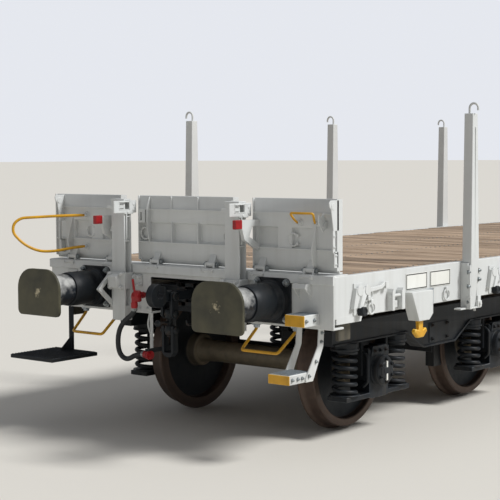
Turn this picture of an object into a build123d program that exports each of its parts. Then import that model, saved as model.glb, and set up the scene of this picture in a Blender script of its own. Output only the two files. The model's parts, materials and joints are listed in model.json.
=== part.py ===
from build123d import *

import math
import os

# Four-axle bogie flat wagon, full size, in millimetres.
# X runs along the wagon, Y across it and Z up. The origin is under the middle of the wagon,
# at the lowest point of the wheel flanges. The front end is the one at -X.

os.makedirs("parts", exist_ok=True)

# Driving dimensions: whole wagon
flange_depth = 28  # a wheel flange reaches this far below the rail head
length_over_buffers = 19900
buffer_length = 620
body_half_width = 1390
deck_height = 1240  # above the rail head
bogie_centres = 14860
bogie_wheelbase = 1800
wheel_diameter = 920

# Flats that round forms without a bearing are drawn with
bar_flats = 8
drum_flats = 16
wheel_flats = 32

# Driving dimensions: underframe
plate = 15
headstock_bottom_height = 877
headstock_depth = 170
headstock_lower_flange = 120
ledge_thickness = 10
draw_opening_half_width = 305
draw_opening_height = 1156
sill_web = 14
sill_flange = 100
sill_top_flange = 54
sill_flange_thickness = 14
sill_depth = 290
belly_depth = 540
belly_start = 5350
belly_slope = 1250
centre_beam_flange = 80
centre_beam_web = 12
centre_beam_depth = 150
cross_member_depth = 105
cross_member_width = 80
cross_member_web = 10
cross_member_bays = 10  # between the bogie centres
bolster_length = 450
pivot_radius = 140
plank_thickness = 45
plank_pitch = 155
plank_gap = 6
plank_gap_depth = 12

# Driving dimensions: buffers and drawgear
buffer_spacing = 1750
buffer_height = 1055
buffer_head_width = 450
buffer_head_height = 350
buffer_head_thickness = 30
plunger_radius = 118
casing_radius = 130
casing_length = 330
buffer_base = 320
buffer_base_thickness = 20
hook_thickness = 60
hook_height = 1040
coupling_link_thickness = 22

# Driving dimensions: end flaps and posts
hinge_setback = 30  # hinge axis behind the headstock face
hinge_height = 1275
hinge_pin_radius = 10
hinge_barrel_radius = 18
hinge_barrel_length = 60
hinge_ear_thickness = 16
running_fit = 0.05
flap_face_setback = 60
flap_bottom_height = 1258
flap_top_height = 1765
flap_sheet = 10
flap_relief = 24  # depth of the pressed field behind the face
flap_rim = 50
middle_flap_half_width = 472
post_inner = 497
post_width = 134
post_depth = 80
post_flange = 14
post_web = 30
post_bottom_height = 817
post_top_height = 1740
post_clearance = 19
collar_wall = 25
collar_bottom_height = 1060
collar_top_height = 1185
handle_radius = 11

# Driving dimensions: side stakes and fittings
stakes_a_side = 8
first_stake_inset = 2369
stake_foot_height = 890
stake_top_height = 2375
stake_width = 118
stake_thickness = 82
stake_top_width = 70
stake_top_thickness = 76
stake_foot_width = 66
stake_gap = 2
stake_hook_bar = 18
stake_hook_radius = 28

# Driving dimensions: bogies and wheelsets
axlebox_centres = 2000
side_beam_width = 120
side_beam_top_height = 860
side_beam_end_height = 690
side_beam_belly_height = 550
side_beam_overhang = 560
spring_offset = 320
spring_radius = 98
spring_seat_height = 300
axle_radius = 88
journal_radius = 65
wheel_inner_face = 680
rim_width = 135
rim_thickness = 62
hub_radius = 130


def above_rail(height):
    return flange_depth + height


def inboard(distance):
    """X of what lies this far in from the front buffer faces."""
    return distance - length_over_buffers / 2


def side_view(y):
    """Plane across which a shape drawn in X and Z stands at this Y."""
    return Plane.XZ.offset(-y)


def end_view(x):
    """Plane in which a shape drawn in Y and Z stands at this X."""
    return Plane.YZ.offset(x)


def slab(x, y, z, mode=Mode.ADD):
    """Box between two corners, each direction given as a pair of limits."""
    low = (min(x), min(y), min(z))
    high = (max(x), max(y), max(z))
    with Locations([tuple((a + b) / 2 for a, b in zip(low, high))]):
        Box(*(b - a for a, b in zip(low, high)), mode=mode)


def profile_across(points, y_limits, mode=Mode.ADD):
    """Extrude an outline drawn in X and Z between two limits of Y."""
    with BuildSketch(side_view(min(y_limits))) as outline:
        Polygon(*points, align=None)
    extrude(outline.sketch, amount=max(y_limits) - min(y_limits), dir=(0, 1, 0), mode=mode)


def disc(radius, flats):
    """Round section, or one with this many flats inside the same circle."""
    if flats:
        RegularPolygon(radius, flats)
    else:
        Circle(radius)


def cross_rod(radius, x, z, y_limits, mode=Mode.ADD, flats=None):
    """Round bar across the wagon."""
    with BuildSketch(side_view(min(y_limits))) as outline:
        with Locations((x, z)):
            disc(radius, flats)
    extrude(outline.sketch, amount=max(y_limits) - min(y_limits), dir=(0, 1, 0), mode=mode)


def length_rod(radius, y, z, x_limits, mode=Mode.ADD, flats=None):
    """Round bar along the wagon."""
    with BuildSketch(end_view(min(x_limits))) as outline:
        with Locations((y, z)):
            disc(radius, flats)
    extrude(outline.sketch, amount=max(x_limits) - min(x_limits), dir=(1, 0, 0), mode=mode)


def upright_rod(radius, x, y, z_limits, flats=None):
    """Round bar standing upright."""
    with BuildSketch(Plane.XY.offset(min(z_limits))) as outline:
        with Locations((x, y)):
            disc(radius, flats)
    extrude(outline.sketch, amount=max(z_limits) - min(z_limits))


def bent_rod(points, radius, cuts):
    """Bar along straight runs, each corner cut off this far from its point."""
    route = [Vector(*points[0])]
    for before, corner, after, cut in zip(points, points[1:], points[2:], cuts):
        for neighbour in (before, after):
            leg = Vector(*neighbour) - Vector(*corner)
            route.append(Vector(*corner) + leg.normalized() * cut)
    route.append(Vector(*points[-1]))
    with BuildLine() as run:
        Polyline(*route)
    with BuildSketch(Plane(origin=run.line @ 0, z_dir=run.line % 0)) as section:
        RegularPolygon(radius, bar_flats)
    sweep(section.sketch, path=run.line, transition=Transition.RIGHT)


def repeat_at_rear(block):
    """Copy the front end's pieces to the rear end, turned half round."""
    add(block.part.rotate(Axis.Z, 180))


headstock_x = inboard(buffer_length)
deck_start = headstock_x + headstock_depth
deck_top = above_rail(deck_height)
ledge_top = deck_top + ledge_thickness
headstock_bottom = above_rail(headstock_bottom_height)
sill_bottom = deck_top - sill_depth
belly_bottom = deck_top - belly_depth
plank_bottom = deck_top - plank_thickness
cross_member_bottom = plank_bottom - cross_member_depth
centre_beam_bottom = cross_member_bottom - centre_beam_depth
centre_beam_inner = draw_opening_half_width
centre_beam_outer = centre_beam_inner + centre_beam_flange
sill_inner = body_half_width - sill_web
bogie_x = bogie_centres / 2
ends = (-1, 1)
sides = (-1, 1)

# Headstocks: pressed plate with a ledge on top, a flange below and an opening for the drawgear
with BuildPart() as headstocks:
    profile_across(
        [
            (headstock_x, headstock_bottom),
            (headstock_x, ledge_top),
            (deck_start, ledge_top),
            (deck_start, deck_top),
            (headstock_x + plate, deck_top),
            (headstock_x + plate, headstock_bottom + plate),
            (headstock_x + headstock_lower_flange, headstock_bottom + plate),
            (headstock_x + headstock_lower_flange, headstock_bottom),
        ],
        (-body_half_width, body_half_width),
    )
    slab(
        (headstock_x - plate, headstock_x + headstock_depth),
        (-draw_opening_half_width, draw_opening_half_width),
        (headstock_bottom - plate, above_rail(draw_opening_height)),
        mode=Mode.SUBTRACT,
    )
    repeat_at_rear(headstocks)

# Side sills: plate girders whose lower flange drops to a deep belly between the bogies
sill_end = headstock_x + plate
belly_line = [
    (sill_end, sill_bottom),
    (-belly_start, sill_bottom),
    (-belly_start + belly_slope, belly_bottom),
    (belly_start - belly_slope, belly_bottom),
    (belly_start, sill_bottom),
    (-sill_end, sill_bottom),
]
with BuildPart() as side_sills:
    for side in sides:
        profile_across(
            belly_line + [(-sill_end, deck_top), (sill_end, deck_top)],
            (side * sill_inner, side * body_half_width),
        )
        profile_across(
            belly_line + [(x, z + sill_flange_thickness) for x, z in reversed(belly_line)],
            (side * (body_half_width - sill_flange), side * body_half_width),
        )
        slab(
            (sill_end, -sill_end),
            (side * (body_half_width - sill_top_flange), side * body_half_width),
            (deck_top - sill_flange_thickness, deck_top),
        )

# Centre beams: a pair of channels, open outwards, from headstock to headstock
with BuildPart() as centre_beams:
    for side in sides:
        beam_back = side * centre_beam_inner
        slab(
            (sill_end, -sill_end),
            (beam_back, beam_back + side * centre_beam_web),
            (centre_beam_bottom, cross_member_bottom),
        )
        for flange_edge, inwards in ((centre_beam_bottom, 1), (cross_member_bottom, -1)):
            slab(
                (sill_end, -sill_end),
                (beam_back, side * centre_beam_outer),
                (flange_edge, flange_edge + inwards * centre_beam_web),
            )

# Cross members: channels under the planks, from sill to sill
cross_member_pitch = bogie_centres / cross_member_bays
with BuildPart() as cross_members:
    for station in range(-cross_member_bays // 2 - 1, cross_member_bays // 2 + 2):
        web_x = station * cross_member_pitch
        profile_across(
            [
                (web_x, cross_member_bottom),
                (web_x, plank_bottom),
                (web_x + cross_member_width, plank_bottom),
                (web_x + cross_member_width, plank_bottom - cross_member_web),
                (web_x + cross_member_web, plank_bottom - cross_member_web),
                (web_x + cross_member_web, cross_member_bottom + cross_member_web),
                (web_x + cross_member_width, cross_member_bottom + cross_member_web),
                (web_x + cross_member_width, cross_member_bottom),
            ],
            (-sill_inner, sill_inner),
        )

# Body bolsters: boxes over the bogies, with the pivot that the bogie turns about
bolster_bottom = sill_bottom + sill_flange_thickness
pivot_seat_height = 880
pivot_gap = 0.3
with BuildPart() as body_bolsters:
    for end in ends:
        for y_limits in (
            (-sill_inner, -centre_beam_outer),
            (-centre_beam_inner, centre_beam_inner),
            (centre_beam_outer, sill_inner),
        ):
            slab(
                (end * bogie_x - bolster_length / 2, end * bogie_x + bolster_length / 2),
                y_limits,
                (bolster_bottom, cross_member_bottom),
            )
        with BuildSketch(Plane.XY.offset(above_rail(pivot_seat_height) + pivot_gap)):
            with Locations((end * bogie_x, 0)):
                Circle(pivot_radius)
        extrude(until=Until.NEXT)

# Deck: hardwood planks laid across the wagon, drawn as one mat with a groove at every joint
deck_length = -2 * deck_start
deck_half_width = body_half_width - sill_top_flange - 2
groove_count = round(deck_length / plank_pitch) - 1
with BuildPart() as deck_planks:
    with BuildSketch(side_view(-deck_half_width)) as deck_section:
        with Locations((0, (plank_bottom + deck_top) / 2)):
            Rectangle(deck_length, plank_thickness)
        with Locations((0, deck_top - plank_gap_depth / 2)):
            with GridLocations(plank_pitch, 1, groove_count, 1):
                Rectangle(plank_gap, plank_gap_depth, mode=Mode.SUBTRACT)
    extrude(deck_section.sketch, amount=2 * deck_half_width, dir=(0, 1, 0))

# Buffers: a sprung plunger with an arched head in a black casing bolted to the headstock
buffer_z = above_rail(buffer_height)
casing_front = headstock_x - casing_length
head_corner = 40
head_arch = 150
head_boss_length = 20
head_boss_step = 18
with BuildPart() as buffer_casings:
    for side in sides:
        buffer_y = side * buffer_spacing / 2
        length_rod(casing_radius, buffer_y, buffer_z, (casing_front, headstock_x), flats=drum_flats)
        slab(
            (headstock_x - buffer_base_thickness, headstock_x),
            (buffer_y - buffer_base / 2, buffer_y + buffer_base / 2),
            (buffer_z - buffer_base / 2, buffer_z + buffer_base / 2),
        )
    repeat_at_rear(buffer_casings)

head_back = inboard(buffer_head_thickness)
with BuildPart() as buffer_heads:
    for side in sides:
        buffer_y = side * buffer_spacing / 2
        with BuildSketch(end_view(inboard(0))) as head_outline:
            with Locations((buffer_y, buffer_z)):
                Rectangle(buffer_head_width, buffer_head_height)
            fillet(head_outline.vertices().sort_by(Axis.Y)[:2], head_corner)
            fillet(head_outline.vertices().sort_by(Axis.Y)[-2:], head_arch)
        extrude(head_outline.sketch, amount=buffer_head_thickness, dir=(1, 0, 0))
        head_boss = (head_back, head_back + head_boss_length)
        length_rod(plunger_radius + head_boss_step, buffer_y, buffer_z, head_boss, flats=drum_flats)
        length_rod(plunger_radius, buffer_y, buffer_z, (head_back, casing_front), flats=drum_flats)
    repeat_at_rear(buffer_heads)

# Drawgear: a guide plate behind the opening and the hook whose square shank passes through it
hook_z = above_rail(hook_height)
shank_height = 70
guide_plate_x = headstock_x + headstock_lower_flange
guide_plate_thickness = 30
with BuildPart() as drawgear_plates:
    slab(
        (guide_plate_x, guide_plate_x + guide_plate_thickness),
        (-centre_beam_inner, centre_beam_inner),
        (centre_beam_bottom - 40, cross_member_bottom),
    )
    slab(
        (guide_plate_x - 1, guide_plate_x + guide_plate_thickness + 1),
        (-hook_thickness / 2, hook_thickness / 2),
        (hook_z - shank_height / 2, hook_z + shank_height / 2),
        mode=Mode.SUBTRACT,
    )
    repeat_at_rear(drawgear_plates)

hook_nose_x = headstock_x - 345
hook_outer = 88
hook_throat = 34
hook_centre_x = hook_nose_x + hook_outer
coupling_pin_x = hook_centre_x + 135
coupling_pin_radius = 22
with BuildPart() as draw_hooks:
    with BuildSketch(side_view(-hook_thickness / 2)) as hook_outline:
        with Locations((hook_centre_x, hook_z + 12)):
            Circle(hook_outer)
        with Locations(((hook_centre_x + guide_plate_x + 120) / 2, hook_z)):
            Rectangle(guide_plate_x + 120 - hook_centre_x, shank_height)
        with Locations((coupling_pin_x, hook_z)):
            Circle(shank_height * 0.62)
        with Locations((hook_centre_x + 8, hook_z + 22)):
            Circle(hook_throat, mode=Mode.SUBTRACT)
        with Locations((hook_centre_x + 28, hook_z + 22 + hook_outer / 2)):
            Rectangle(2 * hook_throat - 14, hook_outer, mode=Mode.SUBTRACT)
        with Locations((coupling_pin_x, hook_z)):
            Circle(coupling_pin_radius, mode=Mode.SUBTRACT)
    extrude(hook_outline.sketch, amount=hook_thickness, dir=(0, 1, 0))
    repeat_at_rear(draw_hooks)

# Screw coupling, hanging: two links on the hook's pin, the screw between two trunnion nuts, and the bow
upper_nut_z = hook_z - 130
lower_nut_z = upper_nut_z - 120
bow_bottom_z = lower_nut_z - 170
link_inner = hook_thickness / 2 + 4
nut_radius = 30
trunnion_radius = 17
spindle_radius = 20
lever_weight_radius = 26
with BuildPart() as coupling_links:
    for side in sides:
        link_limits = (side * link_inner, side * (link_inner + coupling_link_thickness))
        with BuildSketch(side_view(min(link_limits))) as link_outline:
            with Locations((coupling_pin_x, (hook_z + upper_nut_z) / 2)):
                SlotCenterToCenter(hook_z - upper_nut_z, 74, rotation=90)
            with Locations((coupling_pin_x, upper_nut_z)):
                Circle(trunnion_radius, mode=Mode.SUBTRACT)
        extrude(link_outline.sketch, amount=coupling_link_thickness, dir=(0, 1, 0))
    pin_reach = link_inner + coupling_link_thickness
    cross_rod(coupling_pin_radius, coupling_pin_x, hook_z, (-pin_reach, pin_reach))
    repeat_at_rear(coupling_links)

with BuildPart() as coupling_screws:
    upright_rod(spindle_radius, coupling_pin_x, 0, (lower_nut_z - 50, upper_nut_z + 40), flats=bar_flats)
    for nut_z in (upper_nut_z, lower_nut_z):
        cross_rod(nut_radius, coupling_pin_x, nut_z, (-link_inner + 1, link_inner - 1), flats=drum_flats)
        cross_rod(trunnion_radius, coupling_pin_x, nut_z, (-pin_reach - 8, pin_reach + 8))
    screw_middle_z = (upper_nut_z + lower_nut_z) / 2
    slab((coupling_pin_x - 110, coupling_pin_x), (-9, 9), (screw_middle_z - 9, screw_middle_z + 9))
    weight_x = coupling_pin_x - 125
    cross_rod(lever_weight_radius, weight_x, screw_middle_z, (-22, 22), flats=bar_flats)
    repeat_at_rear(coupling_screws)

bow_bar = 34
bow_width = 54
with BuildPart() as coupling_bows:
    with BuildSketch(end_view(coupling_pin_x - bow_width / 2)) as bow_outline:
        with Locations((0, (lower_nut_z + bow_bottom_z) / 2)):
            Rectangle(2 * pin_reach, lower_nut_z - bow_bottom_z + 60)
        fillet(bow_outline.vertices().sort_by(Axis.Y)[:2], pin_reach - 1)
        with Locations((0, (lower_nut_z + bow_bottom_z) / 2 + bow_bar / 2 + 10)):
            Rectangle(2 * link_inner, lower_nut_z - bow_bottom_z + 60 - bow_bar + 20, mode=Mode.SUBTRACT)
    extrude(bow_outline.sketch, amount=bow_width, dir=(1, 0, 0))
    trunnion_reach = pin_reach + 20
    trunnion_y = (-trunnion_reach, trunnion_reach)
    cross_rod(trunnion_radius, coupling_pin_x, lower_nut_z, trunnion_y, Mode.SUBTRACT)
    repeat_at_rear(coupling_bows)

# End posts: H sections standing in collars on the headstock, with a solid foot and a cap
post_outer = post_inner + post_width
post_front = headstock_x - post_depth
post_middle = (post_inner + post_outer) / 2
post_foot_top = above_rail(930)
post_cap = 12
with BuildPart() as end_posts:
    for side in sides:
        post_y = (side * post_inner, side * post_outer)
        for x_limits in (
            (post_front, post_front + post_flange),
            (headstock_x - post_flange, headstock_x),
        ):
            slab(x_limits, post_y, (above_rail(post_bottom_height), above_rail(post_top_height)))
        slab(
            (post_front, headstock_x),
            (side * (post_middle - post_web / 2), side * (post_middle + post_web / 2)),
            (above_rail(post_bottom_height), above_rail(post_top_height)),
        )
        slab((post_front, headstock_x), post_y, (above_rail(post_bottom_height), post_foot_top))
        slab(
            (post_front, headstock_x),
            post_y,
            (above_rail(post_top_height) - post_cap, above_rail(post_top_height)),
        )
    repeat_at_rear(end_posts)

# Post collars: straps round the posts, a bent lug in front and a bar bent to a V beside it
v_reach = 145
v_bar = 32
v_top = collar_top_height + 5
v_bottom = 930
v_middle = above_rail((v_top + v_bottom) / 2)
collar_front = post_front - collar_wall
collar_outer = post_outer + collar_wall
with BuildPart() as post_collars:
    for side in sides:
        collar_z = (above_rail(collar_bottom_height), above_rail(collar_top_height))
        slab(
            (collar_front, headstock_x),
            (side * (post_inner - collar_wall), side * collar_outer),
            collar_z,
        )
        slab(
            (collar_front + 8, headstock_x),
            (side * (post_inner - 112), side * post_inner),
            (collar_z[0] + 20, collar_z[1] - 20),
        )
        slab(
            (post_front, headstock_x),
            (side * post_inner, side * post_outer),
            collar_z,
            mode=Mode.SUBTRACT,
        )
        slab(
            (collar_front - 1, headstock_x - plate),
            (side * (post_inner - 117), side * (post_inner - collar_wall)),
            collar_z,
            mode=Mode.SUBTRACT,
        )
        profile_across(
            [
                (collar_front, collar_z[1] - 12),
                (collar_front - 55, collar_z[1] - 30),
                (collar_front - 40, collar_z[0] + 15),
                (collar_front, collar_z[0] + 5),
            ],
            (side * (post_inner + 20), side * (post_outer - 30)),
        )
        profile_across(
            [
                (headstock_x - 2, above_rail(v_top)),
                (post_front, above_rail(v_top)),
                (post_front - v_reach, v_middle),
                (post_front, above_rail(v_bottom)),
                (headstock_x - 2, above_rail(v_bottom)),
                (headstock_x - 2, above_rail(v_bottom) + v_bar),
                (post_front + 10, above_rail(v_bottom) + v_bar),
                (post_front - v_reach + v_bar * 1.4, v_middle),
                (post_front + 10, above_rail(v_top) - v_bar),
                (headstock_x - 2, above_rail(v_top) - v_bar),
            ],
            (side * post_outer, side * collar_outer),
        )
    repeat_at_rear(post_collars)

# Post latches: a plate with a window beside each post, on the same side of both posts
flap_face_x = headstock_x + flap_face_setback
latch_plate = 12
latch_start = headstock_x - 195
latch_end = headstock_x + 45
with BuildPart() as post_latches:
    for root in (post_inner, -post_outer):
        latch_y = (root - latch_plate, root)
        slab((latch_start, latch_end), latch_y, (above_rail(1635), above_rail(1729)))
        slab((headstock_x - 85, headstock_x + 12), latch_y, (above_rail(1626), above_rail(1669)))
        slab(
            (latch_start + 58, latch_end - 78),
            (root - latch_plate - 1, root + 1),
            (above_rail(1664), above_rail(1716)),
            mode=Mode.SUBTRACT,
        )
    repeat_at_rear(post_latches)

# Flap hinges: pairs of ears on the ledge, with the pin that the flap's barrel turns on
hinge_x = headstock_x + hinge_setback
hinge_z = above_rail(hinge_height)
outer_flap_inner = post_outer + post_clearance
outer_flap_outer = body_half_width - 4
middle_hinges = (-275, 275)
outer_hinges = (outer_flap_inner + 90, body_half_width - 220)
front_hinges = [y for y in middle_hinges] + [side * y for side in sides for y in outer_hinges]
ear_gap = hinge_barrel_length / 2 + 1.5
with BuildPart() as flap_hinges:
    for y in front_hinges:
        for side in sides:
            ear = (y + side * ear_gap, y + side * (ear_gap + hinge_ear_thickness))
            profile_across(
                [
                    (hinge_x - 22, ledge_top),
                    (hinge_x - 16, hinge_z + 12),
                    (hinge_x + 12, hinge_z + 16),
                    (hinge_x + 34, ledge_top),
                ],
                ear,
            )
        reach = ear_gap + hinge_ear_thickness
        cross_rod(hinge_pin_radius, hinge_x, hinge_z, (y - reach, y + reach))
    repeat_at_rear(flap_hinges)

# End flaps: pressed sheets with a rim, two ledges, ribs and hinge barrels, drawn for the front end
flap_bottom = above_rail(flap_bottom_height)
flap_top = above_rail(flap_top_height)
lower_ledge = above_rail(1418)
upper_ledge = above_rail(1668)
field_top = above_rail(1566)
ledge_plate = 9
ledge_reach = 12
flap_back = flap_face_x + flap_rim
face_line = [
    (flap_face_x + 18, flap_bottom),
    (flap_face_x, flap_bottom + 34),
    (flap_face_x, lower_ledge),
    (flap_face_x + flap_relief, lower_ledge + 14),
    (flap_face_x + flap_relief, field_top - 12),
    (flap_face_x, field_top),
    (flap_face_x, flap_top),
]


def flap_panel(y_limits, raised, ribs, hinges):
    """One flap's pressed sheet; raised fields, ribs and hinges are given by their Y."""
    profile_across(
        face_line + [(x + flap_sheet, z) for x, z in reversed(face_line)],
        y_limits,
    )
    slab((flap_face_x, flap_back), y_limits, (flap_top - flap_sheet, flap_top))
    slab((flap_face_x + 18, flap_back), y_limits, (flap_bottom, flap_bottom + flap_sheet))
    for z in (lower_ledge, upper_ledge):
        slab((flap_face_x - ledge_reach, flap_face_x + 4), y_limits, (z - ledge_plate, z))
    for edge, inwards in ((min(y_limits), 1), (max(y_limits), -1)):
        slab(
            (flap_face_x - ledge_reach, flap_back),
            (edge, edge + inwards * flap_sheet),
            (flap_bottom + 20, flap_top),
        )
    for low, high in raised:
        slab((flap_face_x, flap_face_x + flap_relief + 4), (low, high), (lower_ledge, field_top))
    for y in ribs:
        slab(
            (flap_face_x - ledge_reach, flap_face_x + flap_relief + 4),
            (y - 5, y + 5),
            (lower_ledge - 4, field_top + 4),
        )
        slab((flap_face_x - ledge_reach, flap_face_x + 4), (y - 5, y + 5), (upper_ledge - 4, flap_top - 4))
    for y in hinges:
        barrel = (y - hinge_barrel_length / 2, y + hinge_barrel_length / 2)
        cross_rod(hinge_barrel_radius, hinge_x, hinge_z, barrel)
        slab((hinge_x, flap_face_x + 16), barrel, (hinge_z - 4, hinge_z + 10))
        profile_across(
            [
                (flap_face_x + 6, hinge_z + 8),
                (hinge_x + 2, hinge_z + 14),
                (flap_face_x - 3, hinge_z + 70),
                (flap_face_x + 6, hinge_z + 70),
            ],
            barrel,
        )
        cross_rod(
            hinge_pin_radius + running_fit,
            hinge_x,
            hinge_z,
            (y - hinge_barrel_length, y + hinge_barrel_length),
            mode=Mode.SUBTRACT,
        )


def flap_support(side):
    """The fin over the outer hinge, and the forked stub beside the post."""
    fin_y = outer_flap_outer - 190
    profile_across(
        [
            (flap_face_x + 4, above_rail(1612)),
            (flap_face_x - 62, above_rail(1400)),
            (flap_face_x - 40, above_rail(1310)),
            (flap_face_x + 4, above_rail(1302)),
        ],
        (side * fin_y, side * (fin_y + 12)),
    )
    profile_across(
        [
            (flap_face_x + 4, above_rail(1612)),
            (flap_face_x - 259, above_rail(1612)),
            (flap_face_x - 259, above_rail(1554)),
            (flap_face_x - 191, above_rail(1550)),
            (flap_face_x - 165, above_rail(1475)),
            (flap_face_x - 14, above_rail(1393)),
            (flap_face_x + 4, above_rail(1393)),
            (flap_face_x + 4, above_rail(1435)),
            (flap_face_x - 112, above_rail(1495)),
            (flap_face_x - 78, above_rail(1566)),
            (flap_face_x + 4, above_rail(1566)),
        ],
        (side * (outer_flap_inner + 24), side * (outer_flap_inner + 52)),
    )


with BuildPart() as front_middle_flap:
    flap_panel((-middle_flap_half_width, middle_flap_half_width), (), (-131, 131), middle_hinges)

outer_fields = (
    (outer_flap_inner + 17, outer_flap_inner + 40),
    (outer_flap_inner + 217, outer_flap_inner + 340),
    (outer_flap_outer - 212, outer_flap_outer - flap_sheet),
)
with BuildPart() as front_far_flap:
    flap_panel((outer_flap_inner, outer_flap_outer), outer_fields, (), outer_hinges)
    flap_support(1)

near_fields = [(-high, -low) for low, high in outer_fields]
with BuildPart() as front_near_flap:
    flap_panel((-outer_flap_outer, -outer_flap_inner), near_fields, (), [-y for y in outer_hinges])
    flap_support(-1)

rear_flaps = {}
for place, source in (
    ("rear_middle_flap", front_middle_flap),
    ("rear_near_flap", front_far_flap),
    ("rear_far_flap", front_near_flap),
):
    with BuildPart() as turned_flap:
        add(source.part.rotate(Axis.Z, 180))
    rear_flaps[place] = turned_flap

# Handles on the outer flaps: a long bow towards the corner, and a short one on the other flap
bow_root = flap_face_x - 14
bow_root_y = outer_flap_outer - 346
bow_tip_x = inboard(262)
bow_tip_y = outer_flap_outer - 10


def bow_point(share, height):
    """Point of the long bow, at a share of the way from the flap to its far end."""
    return (
        bow_root + share * (bow_tip_x - bow_root),
        bow_root_y + share * (bow_tip_y - bow_root_y),
        above_rail(height),
    )


with BuildPart() as front_long_handle:
    bent_rod(
        [
            (flap_face_x, bow_root_y, above_rail(1602)),
            bow_point(0, 1602),
            bow_point(0.93, 1604),
            bow_point(1, 1490),
            bow_point(0.5, 1322),
            bow_point(0.3, 1350),
            bow_point(0, 1358),
            (flap_face_x, bow_root_y, above_rail(1358)),
        ],
        handle_radius,
        [10, 40, 40, 40, 30, 10],
    )
short_root_y = (171 - outer_flap_outer, 321 - outer_flap_outer)
short_leg = ((0, 1600, 0), (34, 1600, 0), (60, 1625, 12), (88, 1668, 24))
short_run = [
    (flap_face_x - reach, short_root_y[1] + spread, above_rail(height))
    for reach, height, spread in short_leg
] + [
    (flap_face_x - reach, short_root_y[0] - spread, above_rail(height))
    for reach, height, spread in reversed(short_leg)
]
with BuildPart() as front_short_handle:
    bent_rod(short_run, handle_radius - 3, [10, 12, 16, 16, 12, 10])
with BuildPart() as rear_long_handle:
    add(front_long_handle.part.rotate(Axis.Z, 180))
with BuildPart() as rear_short_handle:
    add(front_short_handle.part.rotate(Axis.Z, 180))

# Side stakes: tapering box sections in shoes on the sills, each with a hook bar on top
first_stake = inboard(first_stake_inset)
stake_pitch = -2 * first_stake / (stakes_a_side - 1)
stake_places = [(first_stake + n * stake_pitch, side) for n in range(stakes_a_side) for side in sides]
stake_inner = body_half_width + stake_gap
foot_z = above_rail(stake_foot_height)
stake_top = above_rail(stake_top_height)
stake_foot_thickness = stake_thickness * 0.8
with BuildPart() as stake:
    profile_across(
        [
            (-stake_foot_width / 2, foot_z),
            (stake_foot_width / 2, foot_z),
            (stake_width / 2, deck_top),
            (stake_top_width / 2, stake_top),
            (-stake_top_width / 2, stake_top),
            (-stake_width / 2, deck_top),
        ],
        (stake_inner, stake_inner + stake_thickness),
    )
    with BuildSketch(end_view(-stake_width)) as stake_side:
        Polygon(
            (stake_inner, foot_z),
            (stake_inner + stake_foot_thickness, foot_z),
            (stake_inner + stake_thickness, deck_top),
            (stake_inner + stake_top_thickness, stake_top),
            (stake_inner, stake_top),
            align=None,
        )
    extrude(stake_side.sketch, amount=2 * stake_width, dir=(1, 0, 0), mode=Mode.INTERSECT)
with BuildPart() as side_stakes:
    for x, side in stake_places:
        add(stake.part.moved(Location((x, 0, 0), (0, 0, 0 if side > 0 else 180))))

hook_leg = 40
with BuildPart() as stake_hooks:
    for x, side in stake_places:
        leg_y = side * (stake_inner + 26)
        ring_y = leg_y + side * (stake_hook_radius + stake_hook_bar / 2)
        ring_z = stake_top + hook_leg
        with BuildSketch(end_view(x - stake_hook_bar / 2)) as bar_outline:
            with Locations((ring_y, ring_z)):
                RegularPolygon(stake_hook_radius + stake_hook_bar, bar_flats)
                RegularPolygon(stake_hook_radius, bar_flats, mode=Mode.SUBTRACT)
            with Locations((ring_y, ring_z - stake_hook_radius)):
                Rectangle(3 * stake_hook_radius + 20, 2 * stake_hook_radius, mode=Mode.SUBTRACT)
            with Locations((leg_y, stake_top + hook_leg / 2)):
                Rectangle(stake_hook_bar, hook_leg)
        extrude(bar_outline.sketch, amount=stake_hook_bar, dir=(1, 0, 0))

shoe_wall = 12
shoe_height = 353
with BuildPart() as stake_shoes:
    for x, side in stake_places:
        shoe_bottom = above_rail(stake_foot_height) - shoe_wall
        back = side * body_half_width
        cheek_x = x - stake_width / 2 - 4
        cheek_z = (shoe_bottom, shoe_bottom + shoe_height)
        slab((cheek_x - shoe_wall, cheek_x), (back, back + side * 64), cheek_z)
        slab(
            (cheek_x - shoe_wall, x + stake_width / 2 + 30),
            (back, back + side * 88),
            (shoe_bottom, shoe_bottom + shoe_wall),
        )
        slab(
            (x + stake_foot_width / 2 + 14, x + stake_width / 2 + 30),
            (back, back + side * 84),
            (shoe_bottom, shoe_bottom + 92),
        )
        slab(
            (x + stake_width / 2 + 4, x + stake_width / 2 + 28),
            (back, back + side * 70),
            (above_rail(1080), above_rail(1215)),
        )

# Lashing brackets: two eyed arms over a roller, on a plate on the sill, one to each bay
lash_offset = 414
lash_arm = 26
end_lash_x = inboard(906)
lash_places = [(x + lash_offset, side) for x, side in stake_places[:-len(sides)]]
lash_places += [(end * end_lash_x, side) for end in ends for side in sides]
with BuildPart() as lashing_brackets:
    for x, side in lash_places:
        back = side * body_half_width
        slab((x - 60, x + 40), (back, back + side * 10), (above_rail(960), above_rail(1180)))
        for foot_x, eye_x in ((-70, 0), (0, 90)):
            profile_across(
                [
                    (x + foot_x - lash_arm, above_rail(1010)),
                    (x + foot_x + lash_arm - 10, above_rail(1010)),
                    (x + eye_x - 20 + lash_arm, above_rail(1150)),
                    (x + eye_x - 60, above_rail(1150)),
                ],
                (back, back + side * 34),
            )
        cross_rod(32, x + 8, above_rail(985), (back, back + side * 52), flats=bar_flats)

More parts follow.
